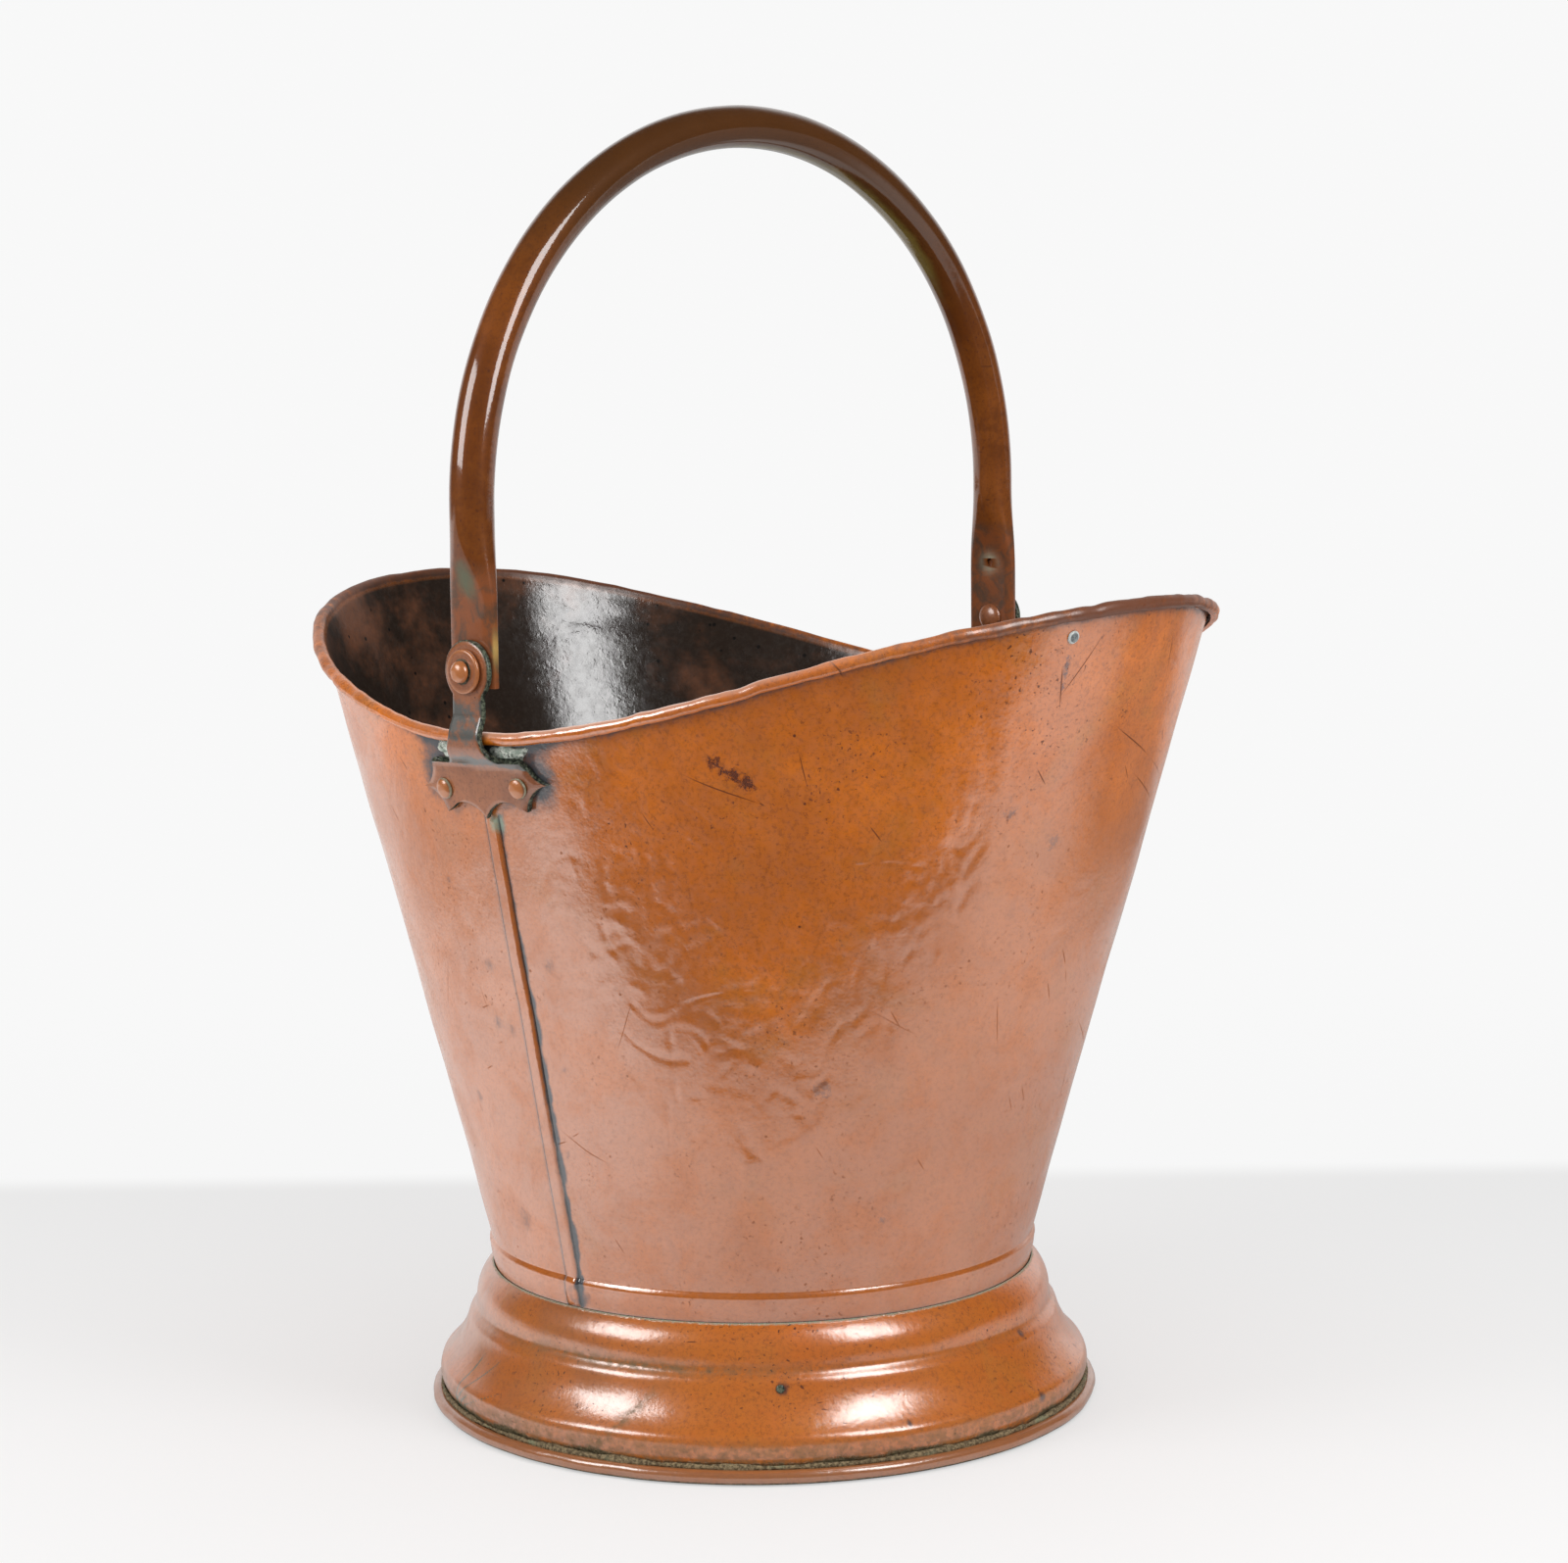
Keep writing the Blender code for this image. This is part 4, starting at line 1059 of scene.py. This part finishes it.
def foot_section():
    """Outside, roll round the wire, and inside with its collar, which close the foot's section."""
    outside = foot_outline()
    wire = Vector((FOOT_WIRE_RADIUS, FOOT_WIRE_HEIGHT))
    turns = [math.pi + ROLL_TURN * k / FOOT_ROLL_STEPS for k in range(FOOT_ROLL_STEPS + 1)]
    rolled = spoke_ends(wire, ROLL_INSIDE, turns) + spoke_ends(wire, ROLL_OUTSIDE, turns[::-1])
    inside = []
    for before, here, after in zip(outside[:-2:2], outside[1:-1:2], outside[2::2]):
        along = (after - before).normalized()
        inside.append(here + Vector((along.y, -along.x)) * SHEET)
    collar = outside[0].x
    lining = collar + SHEET
    corners = ((lining, FOOT_HEIGHT - 2 * SHEET), (lining, BODY_BOTTOM), (collar, BODY_BOTTOM))
    return outside, rolled, inside[::-1] + [Vector(corner) for corner in corners]


def foot_columns():
    """Angles round the foot, closer together where thin streaks run."""
    return np.radians(np.concatenate((np.arange(150, 182, 0.3), np.arange(182, 510, 1.0))))


def foot_marks(angles, heights, points):
    """Dirt in the crevices of the foot, green where water stood, and dark spots."""
    blotch = patches(points, 16, 31, 1.2)
    film = 0.9 * band(heights, 36.6, 2.2) * (0.25 + 0.75 * near(angles, 196, 0.42))
    film = film + 0.6 * ramp(heights, 16.5, -5)
    rubbed = arc_from(angles, 197.5, FOOT_RADIUS) - (heights - 19.7 * MM) * 1.1
    film = film + hump(rubbed, 2.6 * MM) * band(heights, 20.5, 8)
    streak = 0.40 * blotch * near(angles, 156, 0.05) * band(heights, 9, 6)
    for start, end, top in STREAKS:
        share = np.clip((heights - 9 * MM) / (top * MM - 9 * MM), 0, 1)
        run = turn_between(angles, np.radians(start + (end - start) * share)) * FOOT_RADIUS
        streak = streak + 0.8 * hump(run, 0.9 * MM) * ramp(heights, top, -6)
    right = smooth_step((turn_between(angles, math.pi) - 0.1) / 0.5)
    marks = {
        "dirt": band(heights, 6.4, 1.4 + 2.2 * blotch) * (0.70 + 0.3 * blotch),
        "film": film,
        "green": 0.75 * band(heights - FOOT_HEIGHT, 0, 0.8),
        "streak": streak,
        "stain": 0.9 * spots(angles, heights, FOOT_SPOTS, FOOT_RADIUS),
        "dusk": (0.4 + 0.6 * blotch) * (1 - right),
    }
    return {key: np.clip(values, 0, 1) for key, values in marks.items()}


def make_foot(mat):
    """Spun foot with a wired edge, knocked a little out of true."""
    outside, rolled, inside = foot_section()
    section = np.array([tuple(p) for p in outside + rolled + inside])
    radii, heights = section[:, :1], section[:, 1:]
    angles = foot_columns()
    rings = around(angles, radii, heights)
    show, roll_end = len(outside), len(outside) + len(rolled)
    on_bead = np.zeros_like(radii)
    on_bead[show + FOOT_ROLL_STEPS + 1:roll_end] = 1.0
    free = ramp(heights, 46, -12) * ramp(heights, 8, 8)
    push = -0.35 * MM * patches(rings, 34, 21) * free
    push -= 0.18 * MM * patches(rings, 13, 22, 1.0, 0.35) * free
    flats = 0.45 * MM * patches(around(angles, FOOT_RADIUS, 0.0), 14, 23, 1.2, 0.4)
    push -= on_bead * np.maximum((radii - FOOT_WIRE_RADIUS) / ROLL_OUTSIDE, 0) * flats
    rings += push[..., None] * around(angles, 1.0, 0.0)
    marks = defaultdict(lambda: np.zeros(rings.shape[:2]))
    for key, values in foot_marks(angles, heights[:show], rings[:show]).items():
        marks[key][:show] = values
    marks["dirt"][roll_end:] = 0.8
    # Painted shade: the underside of the wired edge next to the floor, dark in the dirt colour
    marks["dirt"] = np.maximum(marks["dirt"], on_bead * ramp(heights, 1.5, -0.8))
    # A darker brown bead: partly its own tone and partly painted shade from the floor beneath it
    marks["dusk"] += 1.4 * on_bead
    add_piece("foot", rings, "joined", mat, "foot_ring", marks, sharp=40)


def make_foot_crust(mat):
    """Ragged ring of hardened dirt in the crevice above the foot's wired edge."""
    angles = circle(1000)
    middle = around(angles, CRUST_RADIUS, CRUST_HEIGHT)
    size = (0.85 + 0.65 * cloud(middle, 17, 26) + 0.45 * cloud(middle, 5, 28)) * MM
    rings = hoop(angles, CRUST_RADIUS, CRUST_HEIGHT, size, 12, 1.2)
    rings[..., 2] += 0.22 * MM * cloud(rings, 1.6, 27)
    add_piece("foot_crust", rings, "joined", mat)


def make_foot_plug(mat):
    """Small green-stained rivet that closes a hole in the foot's flare."""
    low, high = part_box("foot_plug")
    middle = (low + high) / 2
    outward = Vector((middle.x, middle.y, 0)).normalized() + 0.32 * UP
    half = FOOT_PLUG_HALF
    profile = [(1.2 * MM, -half), (1.5 * MM, -half / 2), (0.9 * MM, 0), (1.55 * MM, half * 0.45),
               *dome(1.5 * MM, half * 0.7, 0.55 * MM, 4)]
    points = turned(profile, 20, axis_frame(middle, outward))
    points += 0.1 * MM * cloud(points, 1.2, 41)[..., None]
    add_piece("foot_stud", points, "capped", mat, "foot_plug", {"green": 0.9})


# Ears and rivets

def ear_stand(height):
    """Distance of the ear's inner face from the middle of the bucket: wall, bead, tongue."""
    wall = wall_radius(0.0, height) + FIT
    bead = RIM_HALF_WIDTH + ROLL_OUTSIDE + FIT
    outward = smooth_step((height - RIM_LOW + EAR_JOGGLE + SHEET) / EAR_JOGGLE)
    inward = smooth_step((height - RIM_LOW - SHEET) / EAR_JOGGLE)
    return wall + (bead - wall) * outward + (EAR_INSIDE - bead) * inward


def ear_surface(across, height, layer):
    """Points of the bent ear at +X: layer 0 is the face on the wall and 1 the outer face."""
    nudge = 0.1 * MM
    slope = (ear_stand(height + nudge) - ear_stand(height - nudge)) / (2 * nudge)
    radius = wall_radius(np.arcsin(across / RIM_HALF_WIDTH), height)
    hollow = wall_radius(0.0, height) - np.sqrt(radius * radius - across * across)
    hug = 1 - smooth_step((height - RIM_LOW + EAR_JOGGLE) / EAR_JOGGLE)
    push = EAR_THICKNESS * layer / np.sqrt(1 + slope * slope)
    return np.stack((ear_stand(height) - hollow * hug + push, across, height - slope * push), -1)


def ear_outline():
    """Outline of the ear seen from outside: scalloped plate, neck and round head."""
    neck = Vector((EAR_NECK_HALF, RIM_LOW + SHEET))
    turns = [math.radians(-48 + 138 * k / 20) for k in range(21)]
    head = spoke_ends(Vector((0, PIVOT_HEIGHT)), EAR_HEAD_RADIUS, turns)
    half = arc(EAR_KEEL, EAR_LOW_POINT, 4.6 * MM, 14)
    half += arc(EAR_LOW_POINT, EAR_TIP, 2.2 * MM, 9)
    half += arc(EAR_TIP, EAR_CORNER, 2.2 * MM, 9)
    half += arc(EAR_CORNER, neck, 4.4 * MM, 12)
    half += line(neck, head[0], 14) + head[1:]
    mirrored = [Vector((-p.x, p.y)) for p in reversed(half[:-1])]
    return np.array([tuple(p) for p in [Vector(EAR_KEEL), *half, *mirrored]])


def tilted(across, height):
    """Places on the ear with its plate turned a little out of level below the neck."""
    amount = EAR_TILT * ramp(RIM_LOW - height, 0, 9)
    return across - amount * (height - EAR_RIVET_HEIGHT), height + amount * across


def ear_marks(height, shares):
    """Grey on the tongue and the joggle, green towards the edges, on both faces."""
    tongue = ramp(height - RIM_LOW, -3, 4) * (1 - ramp(height - PIVOT_HEIGHT, -12, 8))
    joggle = band(height - RIM_LOW, -5.5, 2.6)
    round_head = ramp(height - PIVOT_HEIGHT, -9, 5)
    near_edge = smooth_step((shares - 0.84) / 0.16)
    grey = np.clip(0.70 * tongue + 0.90 * joggle + 0.25 * near_edge, 0, 1)
    green = 0.38 * near_edge + 0.30 * round_head * near_edge + 0.10 * tongue
    green[-1] = 1.0
    backs = {"grey": (grey, grey[::-1]), "green": (green, np.ones_like(green))}
    return {key: np.concatenate(faces) for key, faces in backs.items()}


def make_ear(word, side, mat):
    """A scalloped plate whose neck steps over the rim to a tongue, with filed edges."""
    outline = ear_outline()
    steps = 9
    spine = np.stack((0 * outline[:, 0], np.clip(outline[:, 1], RIM_LOW - 15 * MM, PIVOT_HEIGHT)), -1)
    filed = 1 - EAR_BEVEL / np.linalg.norm(outline - spine, axis=1)
    shares = np.concatenate((np.linspace(0, 1, steps)[:, None] * filed, np.ones((1, len(outline)))))
    flat = spine + shares[..., None] * (outline - spine)
    across, height = tilted(flat[..., 0], flat[..., 1])
    chamfer = 0.18 * (np.arange(steps + 1) == steps)[:, None]
    outer = ear_surface(across, height, 1 - chamfer)
    inner = ear_surface(across, height, chamfer)
    notches = 0.12 * MM * cloud(outer[-1], 2.2, 51)
    outer[-1, :, 1] += notches
    inner[-1, :, 1] += notches
    outer[..., 0] += 0.10 * MM * cloud(outer, 8, 52) - 0.10 * MM
    rings = np.concatenate((outer, inner[::-1])) * np.array((side, side, 1))
    marks = ear_marks(height, shares)
    add_piece(f"ear_{word}", rings, "open", mat, f"{word}_ear", marks, sharp=60)


def make_ear_rivet(word, place, angle, height, mat):
    """Domed rivet through the ear and the wall, peened inside."""
    base = EAR_THICKNESS + FIT
    inner = -SHEET - 0.5 * MM
    profile = [*dome_below(3.3 * MM, inner, 0.9 * MM, 4), (EAR_RIVET_SHANK, inner), (EAR_RIVET_SHANK, base),
               (EAR_RIVET_HEAD * 0.97, base), *dome(EAR_RIVET_HEAD, base + 0.3 * MM, 1.9 * MM, 8)]
    points = turned(profile, 32, wall_frame(angle, height))
    points += 0.11 * MM * cloud(points, 2.6, 61)[..., None]
    rim = smooth_step((np.array(profile)[:, :1] - 0.80 * EAR_RIVET_HEAD) / (0.2 * EAR_RIVET_HEAD))
    marks = {"pale": 0.75 * rim, "bright": 0.85 * (1 - rim)}
    add_piece(f"ear_stud_{word}_{place}", points, "capped", mat,
              f"{word}_ear_rivet_{place}", marks)


def make_pivot_rivet(word, side, mat):
    """Rivet through strap, ear and rove: domed head inside, hammered peen outside."""
    inner = HANDLE_HALF_SPAN - STRAP_THICKNESS / 2 - FIT
    profile = [*dome_below(PIVOT_HEAD, inner, 2.1 * MM, 8), (PIVOT_SHANK, inner), (PIVOT_SHANK, PEEN_BASE),
               (PEEN_RADIUS * 0.94, PEEN_BASE), (PEEN_RADIUS, PEEN_BASE + 0.5 * MM),
               *dome(PEEN_RADIUS * 0.97, PEEN_BASE + 1.0 * MM, 2.2 * MM, 7)]
    points = turned(profile, 32, axis_frame((0, 0, PIVOT_HEIGHT), (side, 0, 0)))
    peen = np.array(profile)[:, 1:] > PEEN_BASE + 0.1 * MM
    points[..., 0] -= side * 0.22 * MM * peen * patches(points, 2.4, 63)
    add_piece(f"pivot_{word}", points, "capped", mat, f"{word}_pivot_rivet",
              {"bright": 0.85 * peen})


def make_rove(word, side, mat):
    """Washer under the peened end, with worn edges."""
    hole = PIVOT_SHANK + FIT
    soft = 0.45 * MM
    top = ROVE_THICKNESS
    section = [(hole, 0), (ROVE_RADIUS - soft, 0), (ROVE_RADIUS, soft), (ROVE_RADIUS, top - soft),
               (ROVE_RADIUS - soft * 0.4, top - soft * 0.35), (ROVE_RADIUS - 1.2 * soft, top),
               (6.2 * MM, top - 0.03 * MM), (5.0 * MM, top - 0.05 * MM), (4.4 * MM, top - 0.07 * MM),
               (hole, top - 0.1 * MM)]
    points = turned(section, 40, axis_frame((side * ROVE_INSIDE, 0, PIVOT_HEIGHT), (side, 0, 0)))
    radii = np.array(section)[:, :1]
    marks = {"green": 0.8 * ramp(radii, 5.0, -0.8), "bright": 0.35 + 0.35 * ramp(radii, 6.6, 0.8)}
    add_piece(f"washer_{word}", points, "joined", mat, f"{word}_rove", marks)


def make_lobe_plug(mat):
    """Grey rivet, hammered flat, that closes a hole under the front lobe."""
    height = float(rim_height(LOBE_PLUG_ANGLE)) - LOBE_PLUG_BELOW_RIM
    profile = [(1.9 * MM, -2.4 * MM), (2.2 * MM, -1.5 * MM), (1.4 * MM, -1.2 * MM), (1.4 * MM, 0.1 * MM),
               (2.35 * MM, 0.15 * MM), *dome(2.3 * MM, 0.35 * MM, 0.75 * MM, 5)]
    points = turned(profile, 24, wall_frame(LOBE_PLUG_ANGLE, height))
    points += 0.16 * MM * cloud(points, 1.5, 71)[..., None]
    marks = {"pale": ramp(np.array(profile)[:, :1], 1.2, 0.9)}
    add_piece("lobe_stud", points, "capped", mat, "lobe_plug", marks)


def make_solder_lump(name, angle, height, size, seed, mat):
    """A ragged crust of solder on the wall, of a width, a height and a thickness."""
    profile = [(1.0, -0.25), (1.04, 0.1), *dome(1.0, 0.15, 0.85, 8)]
    points = turned(profile, 36, Matrix.Identity(4))
    ragged = 1 + 0.45 * cloud(points * np.array((MM, MM, 0)), 0.45, seed)[..., None]
    points = points * np.concatenate((ragged, ragged, 0.5 + 0.5 * ragged), -1)
    points = points * np.array(size) * (0.5, 0.5, 1.0)
    points[..., 2] += 0.35 * size[2] * cloud(points, 1.4, seed + 1)
    points = placed(points, wall_frame(angle, height, -0.25 * MM))
    add_piece(name, points, "capped", mat)


# Handle

def handle_line():
    """Stations up one leg, over the arch and down the other, as X and Z, and the direction of travel."""
    rises = np.concatenate((np.linspace(-STRAP_TAIL, STRAP_LENGTH, 13),
                            STRAP_LENGTH + np.linspace(0, SWELL_LENGTH, 25)[1:]))
    leg = np.stack((HANDLE_HALF_SPAN + 0 * rises, PIVOT_HEIGHT + rises), -1)
    turns = np.linspace(0, np.pi, 121)
    spring = PIVOT_HEIGHT + LEG_LENGTH
    arch = np.stack((HANDLE_HALF_SPAN * np.cos(turns), spring + ARCH_HEIGHT * np.sin(turns)), -1)
    path = np.concatenate((leg, arch, leg[::-1] * np.array((-1, 1))))
    travel = np.gradient(path, axis=0)
    return path, travel / np.linalg.norm(travel, axis=1)[:, None]


def squared(value, power):
    """A sine or cosine bent towards a flattened section."""
    return np.sign(value) * np.abs(value) ** power


def make_handle(mat):
    """Bail bent from tube: round over the arch, flattened into straps at the pivots, vented in one leg."""
    path, travel = handle_line()
    rise = path[:, 1:] - PIVOT_HEIGHT
    swell = smooth_step((rise - STRAP_LENGTH) / SWELL_LENGTH)
    depth = STRAP_THICKNESS / 2 + (TUBE_RADIUS - STRAP_THICKNESS / 2) * swell
    width = STRAP_WIDTH / 2 + (TUBE_RADIUS - STRAP_WIDTH / 2) * swell
    power = 0.42 + 0.58 * swell
    turns = circle(48)[None, :]
    out = squared(np.cos(turns), power) * depth
    along_y = squared(np.sin(turns), power) * width
    outward = np.stack((travel[:, 1], -travel[:, 0]), -1)
    points = np.stack((path[:, :1] + outward[:, :1] * out, along_y, path[:, 1:] + outward[:, 1:] * out), -1)
    middle = np.stack((path[:, 0], 0 * path[:, 0], path[:, 1]), -1)[:, None, :]
    uneven = 0.022 * patches(points, 28, 81) * swell
    inner_side = np.abs(turns - np.pi)
    groove = 0.03 * hump(inner_side, 0.05) * ramp(rise, 70, 20)
    points = points + (middle - points) * (uneven + groove)[..., None]

    on_left = (path[:, :1] < 0) * 1.0
    faces_out = np.cos(turns) > 0
    faces_in = np.cos(turns) < 0
    from_vent = np.hypot(along_y, rise + PIVOT_HEIGHT - VENT_HEIGHT)
    marks = {
        "strap": 1 - ramp(rise, 26, 22),
        # Painted shade over the top of the arch
        "dark": 0.90 * ramp(rise, 110, 60),
        "braze": hump(inner_side, 0.6) * ramp(rise, 110, 50),
        "green": 0.85 * on_left * band(rise, 31, 9) * band(along_y, 0, 6) * faces_out,
        "worn": 0.6 * on_left * band(along_y + STRAP_WIDTH / 2, 0, 0.6) * band(rise, 8, 5),
        "burr": (1 - on_left) * band(from_vent, 0, 3.3) * faces_in,
    }
    handle = add_piece("bail_tube", points, "capped", mat, "handle", marks, 45, "bail")
    drill(handle, (0, 0, PIVOT_HEIGHT), PIVOT_SHANK + FIT, PIVOT_DRILL)
    drill(handle, (HANDLE_HALF_SPAN - VENT_INSET, 0, VENT_HEIGHT), VENT_RADIUS, VENT_DRILL)


def drill(piece, middle, radius, length):
    """Cut a round hole along X through a piece."""
    points = turned([(radius, -length / 2), (radius, length / 2)], 24, axis_frame(middle, (1, 0, 0)))
    tool = add_object("drill", ring_mesh("drill", points, "capped", {}))
    cut = piece.modifiers.new("hole", "BOOLEAN")
    cut.operation = "DIFFERENCE"
    cut.solver = "EXACT"
    cut.object = tool
    graph = bpy.context.evaluated_depsgraph_get()
    done = bpy.data.meshes.new_from_object(piece.evaluated_get(graph))
    piece.modifiers.clear()
    piece.data = done
    bpy.data.objects.remove(tool, do_unlink=True)


# Stage

def make_camera():
    """Camera at the photograph's viewing angle."""
    level = Vector((math.sin(CAMERA_AZIMUTH), -math.cos(CAMERA_AZIMUTH), 0))
    turns = ((CAMERA_HEADING, "Z"), (math.pi / 2 - CAMERA_PITCH, "X"), (CAMERA_ROLL, "Z"))
    place = Matrix.Translation(level * CAMERA_REACH + UP * CAMERA_HEIGHT)
    for angle, axis in turns:
        place = place @ Matrix.Rotation(angle, 4, axis)
    data = bpy.data.cameras.new("camera")
    data.lens = CAMERA_LENS
    data.sensor_width = CAMERA_SENSOR
    camera = add_object("camera", data)
    camera.matrix_world = place
    bpy.context.scene.camera = camera


def cleared(owner):
    """An emptied node tree of a material or a world."""
    owner.use_nodes = True
    owner.node_tree.nodes.clear()
    return Nodes(owner.node_tree)


def mirrored_table(nodes, depth, across):
    """What mirrors see of the table: it ends in front, stops short at both sides and dims to the right."""
    on_table = nodes.span(depth, -TABLE_FRONT - 0.03, -TABLE_FRONT + 0.03, ROOM_LEVEL, TABLE_LEVEL)
    right_gap = nodes.span(across, TABLE_RIGHT, TABLE_RIGHT + 0.13) * nodes.span(depth, -0.12, 0.1)
    right_gap = right_gap * nodes.span(depth, 0.7, 1.1, 0.72, 0.0)
    left_gap = nodes.span(across, -TABLE_LEFT - 0.12, -TABLE_LEFT, 0.55, 0.0)
    left_gap = left_gap * nodes.span(depth, 0.25, 0.65, 1.0, 0.0)
    dimmer = nodes.span(across, -0.28, -0.02, 1.0, 0.55) + nodes.span(across, 0.26, 0.36, 0.0, 0.08)
    dimmer = nodes.maths("MINIMUM", dimmer * nodes.span(depth, 0.10, 0.25, 1.0, 1.1), 1.0)
    return on_table * (1.0 - (right_gap + left_gap)) * dimmer


def floor_paint():
    """Pale matt table that turns plain white towards the wall and far away."""
    mat = bpy.data.materials.new("floor")
    nodes = cleared(mat)
    where = nodes.node("NewGeometry", "Position")
    depth = nodes.along(where, VIEW_AWAY)
    across = nodes.along(where, VIEW_RIGHT)
    camera_ray = nodes.node("LightPath", "Is Camera Ray")
    glossy_ray = camera_ray.beside("Is Glossy Ray")
    seen = nodes.span(depth, TABLE_BACK, TABLE_BACK + 0.6, FLOOR_LEVEL, WALL_LEVEL)
    strength = nodes.blend(glossy_ray, seen, mirrored_table(nodes, depth, across))
    glow = nodes.node("Emission", Color=WHITE, Strength=strength)
    matte = nodes.node("BsdfDiffuse", Color=FLOOR_GREY)
    reach = nodes.node("VectorMath", "Value", {"operation": "LENGTH"}, in_0=where)
    plain = nodes.span(depth, TABLE_BACK - 0.02, TABLE_BACK + 0.02, 0.5, 1.0)
    plain = plain.most(nodes.span(reach, 0.55, 1.2, 0.5, 1.0))
    mixer = nodes.node("MixShader", in_0=camera_ray * plain + glossy_ray, in_1=matte, in_2=glow)
    nodes.node("OutputMaterial", Surface=mixer)
    return mat


def make_floor():
    """Wide pale floor, which keeps the bucket's shadow."""
    square = ((-1, -1), (1, -1), (1, 1), (-1, 1))
    corners = [(x * FLOOR_HALF, y * FLOOR_HALF, -FLOOR_DROP) for x, y in square]
    mesh = bpy.data.meshes.new("floor")
    mesh.from_pydata(corners, [], [(0, 1, 2, 3)])
    mesh.materials.append(floor_paint())
    floor = add_object("floor", mesh)


def make_world():
    """Even soft light; mirrors see a pale wall behind the bucket and a dark room elsewhere."""
    world = bpy.data.worlds.new("studio")
    bpy.context.scene.world = world
    nodes = cleared(world)
    heading = nodes.node("TexCoord", "Generated")
    behind = nodes.span(nodes.along(heading, VIEW_AWAY), 0.50, 0.85)
    wall = behind * nodes.span(nodes.along(heading, UP), 0.50, 0.80, 1.0, 0.0)
    camera_ray = nodes.node("LightPath", "Is Camera Ray")
    plain = nodes.blend(camera_ray, WORLD_LEVEL, WALL_LEVEL)
    mirrored = nodes.blend(wall, ROOM_LEVEL, WALL_LEVEL)
    strength = nodes.blend(camera_ray.beside("Is Glossy Ray"), plain, mirrored)
    nodes.node("OutputWorld", Surface=nodes.node("Background", Color=WHITE, Strength=strength))


def make_lamp(name, place, size, power):
    """A softbox at a place seen from the camera's side, turned to the bucket."""
    right, toward, up = place
    data = bpy.data.lights.new(name, "AREA")
    data.shape = "RECTANGLE"
    data.size, data.size_y = size
    data.energy = power
    lamp = add_object(name, data)
    lamp.location = VIEW_RIGHT * right - VIEW_AWAY * toward + UP * up
    lamp.rotation_mode = "QUATERNION"
    lamp.rotation_quaternion = (LAMP_AIM - lamp.location).to_track_quat("-Z", "Y")
    lamp.visible_camera = False


def make_stage():
    """Camera, pale floor, soft world light and two softboxes."""
    bpy.context.scene.view_settings.view_transform = "Standard"
    make_camera()
    make_floor()
    make_world()
    for name, (place, size, power) in LAMPS.items():
        make_lamp(name, place, size, power)


# Sides of an ear: hand, place, then its crust of solder's distance across, size in millimetres and seed
EAR_SIDES = ((-1, "front", 15.0, (16.0, 7.0, 1.4), 91), (1, "back", 15.5, (11.0, 8.0, 1.4), 95))
SOLDER_HEIGHT = RIM_LOW - 4.2 * MM


def make_bucket():
    """Every piece that rides on the bucket."""
    copper, fitting, crust, wire = body_copper(), fitting_copper(), solder(), iron()
    make_body(copper)
    make_rim_wire(wire)
    make_base(base_copper())
    make_foot(foot_copper())
    make_foot_crust(dirt())
    make_foot_plug(fitting)
    make_lobe_plug(grey_plug())
    foot_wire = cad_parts["foot_wire"].data
    foot_wire.materials.clear()
    foot_wire.materials.append(wire)
    spread = math.asin(EAR_RIVET_SPACING / 2 / wall_radius(0.0, EAR_RIVET_HEIGHT))
    for side, word, heading in ((-1, "left", math.pi), (1, "right", 0.0)):
        make_ear(word, side, fitting)
        make_pivot_rivet(word, side, fitting)
        make_rove(word, side, fitting)
        for hand, place, across, size, seed in EAR_SIDES:
            lift = EAR_TILT * side * hand * EAR_RIVET_SPACING / 2
            make_ear_rivet(word, place, heading + side * hand * spread, EAR_RIVET_HEIGHT + lift, fitting)
            lean = side * hand * math.asin(across * MM / RIM_HALF_WIDTH)
            size = tuple(length * MM for length in size)
            make_solder_lump(f"solder_{word}_{place}", heading + lean, SOLDER_HEIGHT, size, seed, crust)


make_stage()
make_bucket()
make_handle(handle_copper())
